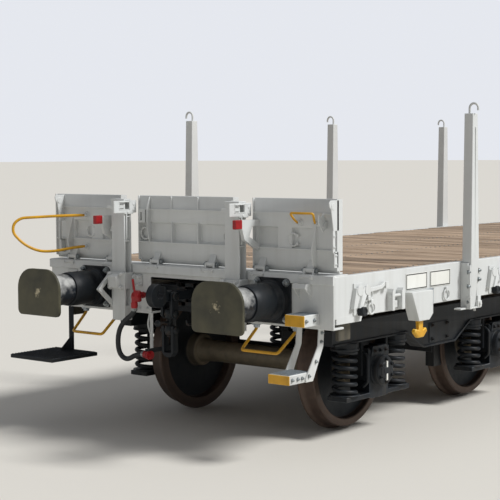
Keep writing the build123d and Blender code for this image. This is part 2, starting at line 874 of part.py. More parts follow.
# Tow brackets and their double hooks, beside each bogie
tow_x = bogie_x + bogie_wheelbase / 2 + 20
tow_places = [(end * tow_x, side) for end in ends for side in sides]
tow_depth = 96
with BuildPart() as tow_brackets:
    for x, side in tow_places:
        back = side * body_half_width
        profile_across(
            [
                (x - 150, above_rail(1074)),
                (x + 140, above_rail(1074)),
                (x + 140, above_rail(900)),
                (x + 90, above_rail(858)),
                (x - 50, above_rail(858)),
            ],
            (back, back + side * tow_depth),
        )
with BuildPart() as tow_hooks:
    for x, side in tow_places:
        hook_y = side * (body_half_width + tow_depth / 2)
        profile_across(
            [
                (x - 5, above_rail(858)),
                (x + 55, above_rail(858)),
                (x + 50, above_rail(785)),
                (x + 96, above_rail(800)),
                (x + 110, above_rail(772)),
                (x + 62, above_rail(730)),
                (x - 12, above_rail(730)),
                (x - 60, above_rail(772)),
                (x - 46, above_rail(800)),
                (x, above_rail(785)),
            ],
            (hook_y - 19, hook_y + 19),
        )

# Sign plates on the sills, bare
sign_offsets = ((-855, -568), (-526, -238))
with BuildPart() as sign_plates:
    for x, side in (stake_places[0], stake_places[-1], stake_places[1], stake_places[-2]):
        inwards = 1 if x < 0 else -1
        for low, high in sign_offsets:
            back = side * body_half_width
            x_limits = (x + inwards * low, x + inwards * high)
            slab(x_limits, (back, back + side * 4), (above_rail(1078), above_rail(1198)))

# Ladder steps at the near front corner and the far rear one
ladder_y = (120 - body_half_width, 280 - body_half_width)
lower_step_y = (133 - body_half_width, 308 - body_half_width)
step_lip = 12
upper_step_z = (above_rail(906), above_rail(986))
lower_step_z = (above_rail(532), above_rail(596))
rail_bar = 12
rail_width = 60
with BuildPart() as ladder_steps:
    slab((headstock_x - 170, headstock_x), ladder_y, upper_step_z)
    slab(
        (headstock_x - 158, headstock_x - 10),
        (ladder_y[0] + step_lip, ladder_y[1] - step_lip),
        (upper_step_z[0] - 1, upper_step_z[1] - 10),
        mode=Mode.SUBTRACT,
    )
    slab((headstock_x - 320, headstock_x - 80), lower_step_y, lower_step_z)
    slab(
        (headstock_x - 308, headstock_x - 92),
        (lower_step_y[0] + step_lip, lower_step_y[1] - step_lip),
        (lower_step_z[0] - 1, lower_step_z[1] - 10),
        mode=Mode.SUBTRACT,
    )
    for y in (lower_step_y[0] - rail_bar, lower_step_y[1]):
        profile_across(
            [
                (headstock_x, headstock_bottom),
                (headstock_x + rail_width, headstock_bottom),
                (headstock_x + rail_width - 10, above_rail(760)),
                (headstock_x - 70, lower_step_z[0]),
                (headstock_x - 150, lower_step_z[0]),
                (headstock_x - 150, lower_step_z[0] + 30),
                (headstock_x - 10, above_rail(765)),
            ],
            (y, y + rail_bar),
        )
    repeat_at_rear(ladder_steps)

# Step boards at the other two corners, each on one flat hanger
board_z = (above_rail(505), above_rail(533))
board_outer = body_half_width - 25
board_hanger_y = (board_outer - 215, board_outer - 160)
with BuildPart() as step_boards:
    slab((headstock_x - 470, headstock_x + 10), (board_outer - 475, board_outer), board_z)
    slab((headstock_x, headstock_x + 10), board_hanger_y, (board_z[1] - 4, headstock_bottom))
    profile_across(
        [
            (headstock_x, board_z[1] - 2),
            (headstock_x - 130, board_z[1] - 2),
            (headstock_x, board_z[1] + 110),
        ],
        (board_hanger_y[0] + 22, board_hanger_y[0] + 32),
    )
    repeat_at_rear(step_boards)

# Handrails under the buffers
rail_root_x = headstock_x + 40
rail_outer_y = buffer_spacing / 2 + 165
rail_inner_y = buffer_spacing / 2 - 185
rail_splay = 28  # the low bar stops this far short of the outer leg's root
rail_bar_z = above_rail(704)
with BuildPart() as buffer_handrails:
    for side in sides:
        bent_rod(
            [
                (rail_root_x, side * rail_outer_y, headstock_bottom),
                (rail_root_x, side * rail_outer_y, headstock_bottom - 36),
                (headstock_x - 135, side * (rail_outer_y - rail_splay), rail_bar_z),
                (headstock_x - 135, side * rail_inner_y, rail_bar_z),
                (rail_root_x, side * rail_inner_y, headstock_bottom - 36),
                (rail_root_x, side * rail_inner_y, headstock_bottom),
            ],
            handle_radius,
            [16, 32, 32, 16],
        )
    repeat_at_rear(buffer_handrails)

# Air brake: end cocks on the main pipe, hoses hung up on dummy holders, cylinder and reservoir
pipe_y = 345
pipe_z = above_rail(1020)
cock_x = headstock_x - 130
cock_y = pipe_y - 25
pipe_radius = 17
outlet_x = cock_x - 20
outlet_y = pipe_y - 15
outlet_bottom = pipe_z - 90
with BuildPart() as brake_cocks:
    length_rod(pipe_radius, pipe_y, pipe_z, (cock_x, headstock_x), flats=bar_flats)
    upright_rod(34, cock_x, cock_y, (pipe_z - 42, pipe_z + 42), flats=bar_flats)
    upright_rod(26, outlet_x, outlet_y, (outlet_bottom, outlet_bottom + 90), flats=bar_flats)
    with BuildSketch(end_view(outlet_x - 10)) as cock_handle:
        with Locations((0, pipe_z)):
            Polygon(
                (cock_y - 37, -5),
                (cock_y - 25, 15),
                (cock_y + 5, 50),
                (cock_y + 15, 130),
                (cock_y + 33, 130),
                (cock_y + 23, 42),
                (cock_y + 2, 8),
                align=None,
            )
    extrude(cock_handle.sketch, amount=20, dir=(1, 0, 0))
    repeat_at_rear(brake_cocks)

hose_radius = 19
hose_seat = 0.3
hose_end = (cock_x - 30, 224, above_rail(594))
hose_route = [
    (outlet_x, outlet_y, outlet_bottom),
    (outlet_x, outlet_y, outlet_bottom - 35),
    (outlet_x - 15, outlet_y + 90, above_rail(834)),
    (outlet_x - 25, outlet_y + 150, above_rail(742)),
    (outlet_x - 25, outlet_y + 150, above_rail(592)),
    (outlet_x - 20, outlet_y + 70, above_rail(532)),
    (hose_end[0], hose_end[1] + 66, hose_end[2]),
    hose_end,
]
with BuildPart() as brake_hoses:
    bent_rod(hose_route, hose_radius, [30] * 6)
    repeat_at_rear(brake_hoses)

holder_plate_x = headstock_x + headstock_lower_flange
holder_y = hose_end[1] - 37
holder_arm_z = (hose_end[2] + 12, hose_end[2] + 44)
with BuildPart() as hose_couplings:
    cross_rod(31, hose_end[0], hose_end[2], (hose_end[1] - 74, hose_end[1] - hose_seat), flats=bar_flats)
    slab((hose_end[0], holder_plate_x), (holder_y - 8, holder_y + 8), holder_arm_z)
    slab(
        (holder_plate_x, holder_plate_x + 12),
        (holder_y - 28, holder_y + 28),
        (holder_arm_z[0], centre_beam_bottom - 40),
    )
    repeat_at_rear(hose_couplings)

cylinder_x = cross_member_pitch + 20
cylinder_z = cross_member_bottom - 212
bracket_width = 60
with BuildPart() as brake_cylinder:
    for radius, start, end in ((165, -260, 180), (205, 180, 205), (105, 205, 300)):
        length_rod(radius, 0, cylinder_z, (cylinder_x + start, cylinder_x + end), flats=drum_flats)
    slab(
        (cross_member_pitch + 6, cross_member_pitch + 6 + bracket_width),
        (-90, 90),
        (cylinder_z + 60, cross_member_bottom),
    )

reservoir_y = -760
reservoir_radius = 200
reservoir_half_length = 600
reservoir_dish = 50
reservoir_z = cross_member_bottom - 212
reservoir_x = cross_member_width / 2
with BuildPart() as air_reservoir:
    for radius, half_length in (
        (reservoir_radius, reservoir_half_length - reservoir_dish),
        (reservoir_radius - reservoir_dish, reservoir_half_length),
    ):
        x_limits = (reservoir_x - half_length, reservoir_x + half_length)
        length_rod(radius, reservoir_y, reservoir_z, x_limits, flats=drum_flats)
    slab(
        (6, 6 + bracket_width),
        (reservoir_y - 120, reservoir_y + 120),
        (cross_member_bottom - 90, cross_member_bottom),
    )

with BuildPart() as brake_pipe:
    length_rod(pipe_radius, pipe_y, pipe_z, (headstock_x + plate, -headstock_x - plate), flats=bar_flats)

# Bogies: H frame with deep side beams, spring caps, horn guides, pivot seat and side bearers
side_beam_inner = axlebox_centres / 2 - side_beam_width / 2
side_beam_outer = axlebox_centres / 2 + side_beam_width / 2
axle_x = bogie_wheelbase / 2
axle_z = above_rail(wheel_diameter / 2)
beam_top = above_rail(side_beam_top_height)
beam_end_bottom = above_rail(side_beam_end_height)
beam_belly = above_rail(side_beam_belly_height)
beam_end = axle_x + side_beam_overhang
seat_z = above_rail(spring_seat_height)
spring_cap = 40
horn_half_gap = 150
horn_plate = 26
transom_half_length = 200
beam_outline = [
    (-beam_end, beam_top - 60),
    (-beam_end + 120, beam_top),
    (beam_end - 120, beam_top),
    (beam_end, beam_top - 60),
    (beam_end, beam_end_bottom),
    (470, beam_end_bottom),
    (235, beam_belly),
    (-235, beam_belly),
    (-470, beam_end_bottom),
    (-beam_end, beam_end_bottom),
]
with BuildPart() as bogie_frame:
    for side in sides:
        profile_across(beam_outline, (side * side_beam_inner, side * side_beam_outer))
        for axle in ends:
            for offset in ends:
                spring_x = axle * axle_x + offset * spring_offset
                upright_rod(
                    spring_radius + 6,
                    spring_x,
                    side * axlebox_centres / 2,
                    (beam_end_bottom - spring_cap, beam_end_bottom),
                    flats=bar_flats,
                )
                horn_x = axle * axle_x + offset * (horn_half_gap + horn_plate / 2)
                slab(
                    (horn_x - horn_plate / 2, horn_x + horn_plate / 2),
                    (side * (side_beam_inner + 10), side * (side_beam_outer - 10)),
                    (above_rail(430), beam_end_bottom),
                )
        slab(
            (-110, 110),
            (side * 790, side * 910),
            (above_rail(840), bolster_bottom - 5),
        )
    slab(
        (-transom_half_length, transom_half_length),
        (-side_beam_inner, side_beam_inner),
        (above_rail(640), above_rail(840)),
    )
    with BuildSketch(Plane.XY.offset(above_rail(840))) as seat:
        Circle(pivot_radius + 50)
    extrude(seat.sketch, amount=pivot_seat_height - 840)

# Axleboxes: a housing round the journal, a round cover outside and wings that carry the springs
box_inner = axlebox_centres / 2 - 90
box_outer = axlebox_centres / 2 + 90
wing_thickness = 36
with BuildPart() as axleboxes:
    for side in sides:
        for axle in ends:
            x = axle * axle_x
            profile_across(
                [
                    (x - 125, above_rail(620)),
                    (x + 125, above_rail(620)),
                    (x + 125, seat_z),
                    (x + spring_offset + spring_radius, seat_z),
                    (x + spring_offset + spring_radius, seat_z - wing_thickness),
                    (x + 140, seat_z - wing_thickness),
                    (x + 90, seat_z - 10 - wing_thickness),
                    (x - 90, seat_z - 10 - wing_thickness),
                    (x - 140, seat_z - wing_thickness),
                    (x - spring_offset - spring_radius, seat_z - wing_thickness),
                    (x - spring_offset - spring_radius, seat_z),
                    (x - 125, seat_z),
                ],
                (side * box_inner, side * box_outer),
            )
            cross_rod(112, x, axle_z, (side * box_outer, side * (box_outer + 52)), flats=drum_flats)
            cross_rod(
                journal_radius + running_fit,
                x,
                axle_z,
                (side * (box_inner - 1), side * (box_outer - 8)),
                mode=Mode.SUBTRACT,
            )

# Coil springs, drawn with their coils as rings
coil_count = 5
coil_groove = 16
spring_length = beam_end_bottom - spring_cap - seat_z
half_coil = spring_length / coil_count / 2
coil_flat = spring_radius * math.cos(math.pi / bar_flats)
coil_slope = math.degrees(math.atan(coil_groove / half_coil))
with BuildPart() as coil_spring:
    for level in range(2 * coil_count):
        widens = level % 2 == 0
        with BuildSketch(Plane.XY.offset(level * half_coil)) as coil_section:
            RegularPolygon(coil_flat - widens * coil_groove, bar_flats, major_radius=False)
        extrude(coil_section.sketch, amount=half_coil, taper=-coil_slope if widens else coil_slope)
with BuildPart() as bogie_springs:
    for side in sides:
        for axle in ends:
            for offset in ends:
                spring_x = axle * axle_x + offset * spring_offset
                add(coil_spring.part.moved(Location((spring_x, side * axlebox_centres / 2, seat_z))))

# Brake rigging: a block on a hanger at each wheel, and a beam between each pair
block_z = axle_z - 10
wheel_radius = wheel_diameter / 2
rim_middle = wheel_inner_face + rim_width / 2
with BuildPart() as brake_rigging:
    for axle in ends:
        inner_x = axle * (axle_x - wheel_radius - 8)
        beam_x = inner_x - axle * 66
        slab((beam_x - 28, beam_x + 28), (-rim_middle - 40, rim_middle + 40), (block_z - 30, block_z + 30))
        for side in sides:
            block_y = (side * (wheel_inner_face + 44), side * (wheel_inner_face + rim_width - 8))
            with BuildSketch(side_view(min(block_y))) as block_outline:
                with Locations((beam_x + axle * 36, block_z)):
                    Rectangle(120, 300)
                with Locations((axle * axle_x, axle_z)):
                    Circle(wheel_radius + 8, mode=Mode.SUBTRACT)
            extrude(block_outline.sketch, amount=max(block_y) - min(block_y), dir=(0, 1, 0))
            slab(
                (beam_x - 12, beam_x + 12),
                (side * rim_middle - 10, side * rim_middle + 10),
                (block_z, above_rail(740)),
            )
            slab(
                (beam_x - 12, axle * transom_half_length),
                (side * rim_middle - 10, side * rim_middle + 10),
                (above_rail(716), above_rail(740)),
            )

# Wheelset: an axle with two tyred wheels and round journals
flange_radius = wheel_radius + flange_depth
flange_width = 30
rim_outer_face = wheel_inner_face + rim_width
rim_bore = wheel_radius - rim_thickness
web_outer_face = wheel_inner_face + 80
hub_outer_face = rim_outer_face + 20
journal_end = axlebox_centres / 2 + 76
with BuildPart() as wheelset:
    cross_rod(axle_radius, 0, 0, (-wheel_inner_face, wheel_inner_face), flats=drum_flats)
    for side in sides:
        tread = (side * wheel_inner_face, side * rim_outer_face)
        cross_rod(wheel_radius, 0, 0, tread, flats=wheel_flats)
        flange = (side * wheel_inner_face, side * (wheel_inner_face + flange_width))
        cross_rod(flange_radius, 0, 0, flange, flats=wheel_flats)
        recess = (side * web_outer_face, side * (rim_outer_face + 1))
        cross_rod(rim_bore, 0, 0, recess, Mode.SUBTRACT, flats=wheel_flats)
        hub = (side * (wheel_inner_face - 20), side * hub_outer_face)
        cross_rod(hub_radius, 0, 0, hub, flats=drum_flats)
        cross_rod(journal_radius, 0, 0, (side * (hub_outer_face - 10), side * journal_end))

nodes = {
    "headstocks": headstocks,
    "side_sills": side_sills,
    "centre_beams": centre_beams,
    "cross_members": cross_members,
    "body_bolsters": body_bolsters,
    "deck_planks": deck_planks,
    "buffer_casings": buffer_casings,
    "buffer_heads": buffer_heads,
    "drawgear_plates": drawgear_plates,
    "draw_hooks": draw_hooks,
    "coupling_links": coupling_links,
    "coupling_screws": coupling_screws,
    "coupling_bows": coupling_bows,
    "end_posts": end_posts,
    "post_collars": post_collars,
    "post_latches": post_latches,
    "flap_hinges": flap_hinges,
    "front_middle_flap": front_middle_flap,
    "front_far_flap": front_far_flap,
    "front_near_flap": front_near_flap,
    "front_long_handle": front_long_handle,
    "front_short_handle": front_short_handle,
    "rear_long_handle": rear_long_handle,
    "rear_short_handle": rear_short_handle,
    "side_stakes": side_stakes,
    "stake_hooks": stake_hooks,
    "stake_shoes": stake_shoes,
    "lashing_brackets": lashing_brackets,
    "tow_brackets": tow_brackets,
    "tow_hooks": tow_hooks,
    "sign_plates": sign_plates,
    "ladder_steps": ladder_steps,
    "step_boards": step_boards,
    "buffer_handrails": buffer_handrails,
    "brake_cocks": brake_cocks,
    "brake_hoses": brake_hoses,
    "hose_couplings": hose_couplings,
    "brake_cylinder": brake_cylinder,
    "air_reservoir": air_reservoir,
    "brake_pipe": brake_pipe,
}
nodes.update(rear_flaps)

for end, place in ((-1, "front"), (1, "rear")):
    for name, source in (
        ("bogie_frame", bogie_frame),
        ("axleboxes", axleboxes),
        ("bogie_springs", bogie_springs),
        ("brake_rigging", brake_rigging),
    ):
        with BuildPart() as placed:
            add(source.part.moved(Location((end * bogie_x, 0, 0))))
        nodes[f"{place}_{name}"] = placed
    for axle, position in ((-1, "first"), (1, "second")):
        with BuildPart() as placed:
            add(wheelset.part.moved(Location((end * bogie_x + axle * axle_x, 0, axle_z))))
        nodes[f"{place}_{position}_wheelset"] = placed

for name, block in nodes.items():
    block.part.label = name
    export_step(block.part, f"parts/{name}.step")
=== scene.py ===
# Bogie flat wagon: its finishes, its small fittings and a plain studio.
# Laid out as an add-on and run as a script. Lengths in the fitting code are millimetres.

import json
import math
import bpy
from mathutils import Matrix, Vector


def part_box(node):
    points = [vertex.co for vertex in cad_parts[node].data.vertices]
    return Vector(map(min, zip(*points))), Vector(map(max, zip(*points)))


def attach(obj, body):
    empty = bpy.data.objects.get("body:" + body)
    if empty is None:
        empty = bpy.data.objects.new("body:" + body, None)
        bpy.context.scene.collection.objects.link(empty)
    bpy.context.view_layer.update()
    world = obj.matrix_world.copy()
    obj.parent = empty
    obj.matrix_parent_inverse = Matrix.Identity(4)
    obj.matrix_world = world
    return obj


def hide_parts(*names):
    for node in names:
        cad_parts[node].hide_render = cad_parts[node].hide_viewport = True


bl_info = {
    "name": "Bogie flat wagon finishes and fittings",
    "version": (1, 0, 0),
    "blender": (4, 5, 0),
    "location": "3D View > Sidebar > Wagon",
    "description": "Dresses a bogie flat wagon with paint, timber, fasteners and fittings",
    "category": "Object",
}

import bmesh
import bpy
from bpy.props import FloatProperty, FloatVectorProperty, PointerProperty
from mathutils import Matrix, Vector

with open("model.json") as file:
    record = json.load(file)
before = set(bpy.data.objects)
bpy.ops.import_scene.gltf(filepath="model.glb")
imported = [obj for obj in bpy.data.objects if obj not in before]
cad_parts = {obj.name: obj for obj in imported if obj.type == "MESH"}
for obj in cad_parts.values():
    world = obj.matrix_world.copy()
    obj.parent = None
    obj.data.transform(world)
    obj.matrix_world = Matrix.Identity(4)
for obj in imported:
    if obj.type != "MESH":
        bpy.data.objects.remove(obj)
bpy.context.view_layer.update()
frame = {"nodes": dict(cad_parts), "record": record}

# Places that several fittings share, in millimetres, read from the CAD nodes or worked out from them
RAIL_HEAD = 28
HEADSTOCK_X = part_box("headstocks")[0].x * 1000
BUFFER_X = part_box("buffer_heads")[0].x * 1000
DECK_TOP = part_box("deck_planks")[1].z * 1000
LEDGE_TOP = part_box("headstocks")[1].z * 1000
SIDE_Y = 1390
FLAP_FACE_X = HEADSTOCK_X + 60
HINGE_X = HEADSTOCK_X + 30
HINGE_Z = 1275 + RAIL_HEAD
HINGE_YS = (275, 740, 1170)
BUFFER_Y = 875
BUFFER_Z = 1083
POST_FRONT_X = HEADSTOCK_X - 80
POST_INNER = 497
POST_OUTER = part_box("end_posts")[1].y * 1000
LONG_BAR = 11
SHORT_BAR = 8
SPRING_OFFSET = 320
RAIL_LEGS = (BUFFER_Y - 185, BUFFER_Y + 165)
STAKE_XS = [-7581 + 2166 * n for n in range(8)]
AXLE_Z = 488
BOGIE_X = 7430
AXLE_OFFSET = 900
HOOK_Z = 1068
COUPLING_X = HEADSTOCK_X - 345 + 88 + 135
LASH_XS = [STAKE_XS[0] - 1463] + [x + 414 for x in STAKE_XS[:-1]] + [STAKE_XS[-1] + 1463]


def linear(hex_colour):
    """Linear red, green and blue of an sRGB hex value."""
    channels = [int(hex_colour[i : i + 2], 16) / 255 for i in (1, 3, 5)]
    return tuple(c / 12.92 if c <= 0.04045 else ((c + 0.055) / 1.055) ** 2.4 for c in channels)


def above_rail_mm(height):
    """Height above the rail head as a height above the floor."""
    return height + RAIL_HEAD


def per_metre(millimetres):
    """Texture scale whose features are about this many millimetres across."""
    return 1000 / millimetres


# Properties that a user would change


class WagonColours(bpy.types.PropertyGroup):
    """Paint and timber colours"""

    grey: FloatVectorProperty(
        name="Body grey", description="Light grey enamel of the body", subtype="COLOR",
        size=3, min=0, max=1, default=linear("#D3D5D3"),
    )
    yellow: FloatVectorProperty(
        name="Handle yellow", description="Yellow enamel of handles, hooks and step edges",
        subtype="COLOR", size=3, min=0, max=1, default=linear("#DDA521"),
    )
    red: FloatVectorProperty(
        name="Cock red", description="Red enamel of the brake cocks and stub ends", subtype="COLOR",
        size=3, min=0, max=1, default=linear("#A81219"),
    )
    black: FloatVectorProperty(
        name="Underframe black", description="Near-black enamel of bogies and drawgear",
        subtype="COLOR", size=3, min=0, max=1, default=linear("#171B1F"),
    )
    timber: FloatVectorProperty(
        name="Plank brown", description="Weathered face of the deck planks", subtype="COLOR",
        size=3, min=0, max=1, default=linear("#AE957C"),
    )


class WagonSizes(bpy.types.PropertyGroup):
    """Sizes of the repeated fittings"""

    bolt: FloatProperty(
        name="Bolt head", description="Width across the flats of a hexagon bolt head",
        unit="LENGTH", default=0.030, min=0.01, max=0.06,
    )
    spring_bar: FloatProperty(
        name="Spring bar", description="Radius of the bar that the bogie springs are coiled from",
        unit="LENGTH", default=0.0165, min=0.008, max=0.03,
    )
    spring_turns: FloatProperty(
        name="Spring turns", description="Turns of each bogie spring", default=5.5, min=2, max=10,
    )
    plank_pitch: FloatProperty(
        name="Plank pitch", description="Distance from one deck plank to the next", unit="LENGTH",
        default=0.155, min=0.08, max=0.3,
    )
    edge: FloatProperty(
        name="Edge break", description="Width of the worn edge on plates and castings",
        unit="LENGTH", default=0.003, min=0.0005, max=0.01,
    )


class WagonStudio(bpy.types.PropertyGroup):
    """Light, floor and camera"""

    sun: FloatProperty(
        name="Key light", description="Strength of the broad key light", default=3.3, min=0, max=6,
    )
    sky: FloatProperty(
        name="Fill light", description="Strength of the even light from all round", default=0.34,
        min=0, max=3,
    )
    floor: FloatVectorProperty(
        name="Floor", description="Pale floor colour", subtype="COLOR", size=3, min=0, max=1,
        default=linear("#D9D5CC"),
    )
    lens: FloatProperty(
        name="Lens", description="Focal length of the camera", subtype="DISTANCE_CAMERA",
        default=97.79, min=20, max=300,
    )


def colours():
    return bpy.context.scene.wagon_colours


def sizes():
    return bpy.context.scene.wagon_sizes


def studio():
    return bpy.context.scene.wagon_studio


# Materials


def add_node(tree, kind, inputs=None, **settings):
    """Adds a node, gives it its settings, and sets or links its inputs."""
    node = tree.nodes.new(kind)
    for name, value in settings.items():
        setattr(node, name, value)
    for socket, value in (inputs or {}).items():
        if isinstance(value, bpy.types.NodeSocket):
            tree.links.new(value, node.inputs[socket])
        else:
            node.inputs[socket].default_value = value
    return node


def start_material(name):
    """A new material with its tree, its shader and the Object coordinates."""
    material = bpy.data.materials.new(name)
    material.use_nodes = True
    tree = material.node_tree
    shader = tree.nodes["Principled BSDF"]
    place = add_node(tree, "ShaderNodeTexCoord").outputs["Object"]
    return material, tree, shader, place


def rgba(colour):
    return (*colour, 1.0)


def weathered_paint(
    name,
    colour,
    faded,
    dust,
    roughness,
    metallic=0.0,
    patch=700,
    dusty=0.35,
    chips=0.0,
    peel=5,
    bump=0.12,
    specular=0.5,
):
    """Paint that has faded in patches, run with rain and caught dust low down, with chips."""
    material, tree, shader, place = start_material(name)
    patches = add_node(
        tree, "ShaderNodeTexNoise",
        {"Vector": place, "Scale": per_metre(patch), "Detail": 5.0, "Roughness": 0.6}
    )
    patch_share = add_node(
        tree, "ShaderNodeMapRange", {"Value": patches.outputs["Fac"], "From Min": 0.38, "From Max": 0.68}
    )
    faded_paint = add_node(
        tree,
        "ShaderNodeMix",
        {0: patch_share.outputs[0], 6: rgba(colour), 7: rgba(faded)},
        data_type="RGBA",
    )
    long_place = add_node(
        tree, "ShaderNodeMapping",
        {"Vector": place, "Scale": (per_metre(60), per_metre(60), per_metre(900))}
    )
    streaks = add_node(
        tree, "ShaderNodeTexNoise", {"Vector": long_place.outputs[0], "Scale": 1.0, "Detail": 4.0}
    )
    height = add_node(tree, "ShaderNodeSeparateXYZ", {"Vector": place})
    low = add_node(
        tree,
        "ShaderNodeMapRange",
        {"Value": height.outputs["Z"], "From Min": 1.9, "From Max": 0.3, "To Min": 0.15, "To Max": 1.0},
    )
    run = add_node(
        tree,
        "ShaderNodeMapRange",
        {"Value": streaks.outputs["Fac"], "From Min": 0.48, "From Max": 0.74, "To Max": dusty},
    )
    dirt_share = add_node(
        tree, "ShaderNodeMath", {0: run.outputs[0], 1: low.outputs[0]}, operation="MULTIPLY"
    )
    dirty = add_node(
        tree,
        "ShaderNodeMix",
        {0: dirt_share.outputs[0], 6: faded_paint.outputs[2], 7: rgba(dust)},
        data_type="RGBA",
    )
    surface = dirty.outputs[2]
    rough_value = add_node(
        tree,
        "ShaderNodeMapRange",
        {
            "Value": streaks.outputs["Fac"], "From Min": 0.3, "From Max": 0.75, "To Min": roughness,
            "To Max": min(0.95, roughness + 0.2)
        },
    ).outputs[0]
    if chips:
        spots = add_node(
            tree, "ShaderNodeTexNoise",
            {"Vector": place, "Scale": per_metre(22), "Detail": 6.0, "Roughness": 0.7}
        )
        chip_share = add_node(
            tree,
            "ShaderNodeMapRange",
            {"Value": spots.outputs["Fac"], "From Min": 0.72 - chips, "From Max": 0.76 - chips},
        )
        chipped = add_node(
            tree,
            "ShaderNodeMix",
            {0: chip_share.outputs[0], 6: surface, 7: rgba(linear("#6B4A36"))},
            data_type="RGBA",
        )
        surface = chipped.outputs[2]
    tree.links.new(surface, shader.inputs["Base Color"])
    tree.links.new(rough_value, shader.inputs["Roughness"])
    shader.inputs["Metallic"].default_value = metallic
    shader.inputs["Specular IOR Level"].default_value = specular
    peel_noise = add_node(
        tree, "ShaderNodeTexNoise", {"Vector": place, "Scale": per_metre(peel), "Detail": 2.0}
    )
    relief = add_node(
        tree,
        "ShaderNodeBump",
        {"Height": peel_noise.outputs["Fac"], "Strength": bump, "Distance": 0.002},
    )
    tree.links.new(relief.outputs[0], shader.inputs["Normal"])
    return material


def weathered_planks(name, colour):
    """Hardwood laid across the wagon: each plank its own tint, grain along it, silvered by weather."""
    material, tree, shader, place = start_material(name)
    parts = add_node(tree, "ShaderNodeSeparateXYZ", {"Vector": place})
    plank = add_node(
        tree, "ShaderNodeMath", {0: parts.outputs["X"], 1: sizes().plank_pitch}, operation="DIVIDE"
    )
    number = add_node(tree, "ShaderNodeMath", {0: plank.outputs[0]}, operation="FLOOR")
    tint = add_node(tree, "ShaderNodeTexWhiteNoise", {"W": number.outputs[0]}, noise_dimensions="1D")
    shifted_y = add_node(
        tree, "ShaderNodeMath", {0: tint.outputs["Value"], 1: 37.0, 2: parts.outputs["Y"]},
        operation="MULTIPLY_ADD"
    )
    grain_place = add_node(
        tree, "ShaderNodeCombineXYZ",
        {"X": parts.outputs["X"], "Y": shifted_y.outputs[0], "Z": parts.outputs["Z"]}
    )
    stretched = add_node(
        tree,
        "ShaderNodeMapping",
        {"Vector": grain_place.outputs[0], "Scale": (per_metre(16), per_metre(420), per_metre(40))},
    )
    grain = add_node(
        tree, "ShaderNodeTexNoise",
        {"Vector": stretched.outputs[0], "Scale": 1.0, "Detail": 6.0, "Roughness": 0.65, "Distortion": 0.4}
    )
    grain_colour = add_node(tree, "ShaderNodeValToRGB", {"Fac": grain.outputs["Fac"]})
    ramp = grain_colour.color_ramp
    ramp.elements[0].position = 0.30
    ramp.elements[0].color = rgba(linear("#5E4B3C"))
    ramp.elements[1].position = 0.72
    ramp.elements[1].color = rgba(linear("#D3BEA6"))
    middle = ramp.elements.new(0.5)
    middle.color = rgba(colour)
    dark = add_node(
        tree, "ShaderNodeMapRange", {"Value": tint.outputs["Value"], "To Min": 0.62, "To Max": 1.12}
    )
    tinted = add_node(
        tree,
        "ShaderNodeMix",
        {0: 1.0, 6: grain_colour.outputs["Color"], 7: dark.outputs[0]},
        data_type="RGBA",
        blend_type="MULTIPLY",
    )
    tree.links.new(tinted.outputs[2], shader.inputs["Base Color"])
    shader.inputs["Roughness"].default_value = 0.82
    relief = add_node(
        tree, "ShaderNodeBump", {"Height": grain.outputs["Fac"], "Strength": 0.5, "Distance": 0.004}
    )
    tree.links.new(relief.outputs[0], shader.inputs["Normal"])
    return material


def rolled_steel(name, base, rust, roughness, bar=30, rusty=0.5, metallic=0.85):
    """Bare steel with thin brown rust where nothing rubs it."""
    material, tree, shader, place = start_material(name)
    patches = add_node(
        tree, "ShaderNodeTexNoise",
        {"Vector": place, "Scale": per_metre(bar), "Detail": 6.0, "Roughness": 0.62}
    )
    share = add_node(
        tree,
        "ShaderNodeMapRange",
        {"Value": patches.outputs["Fac"], "From Min": 0.62 - rusty * 0.3, "From Max": 0.72 - rusty * 0.1},
    )
    colour = add_node(
        tree, "ShaderNodeMix", {0: share.outputs[0], 6: rgba(base), 7: rgba(rust)}, data_type="RGBA"
    )
    rough = add_node(
        tree, "ShaderNodeMapRange", {"Value": share.outputs[0], "To Min": roughness, "To Max": 0.85}
    )
    metal = add_node(
        tree, "ShaderNodeMapRange", {"Value": share.outputs[0], "To Min": metallic, "To Max": 0.15}
    )
    relief = add_node(
        tree, "ShaderNodeBump", {"Height": patches.outputs["Fac"], "Strength": 0.15, "Distance": 0.001}
    )
    tree.links.new(colour.outputs[2], shader.inputs["Base Color"])
    tree.links.new(rough.outputs[0], shader.inputs["Roughness"])
    tree.links.new(metal.outputs[0], shader.inputs["Metallic"])
    tree.links.new(relief.outputs[0], shader.inputs["Normal"])
    return material


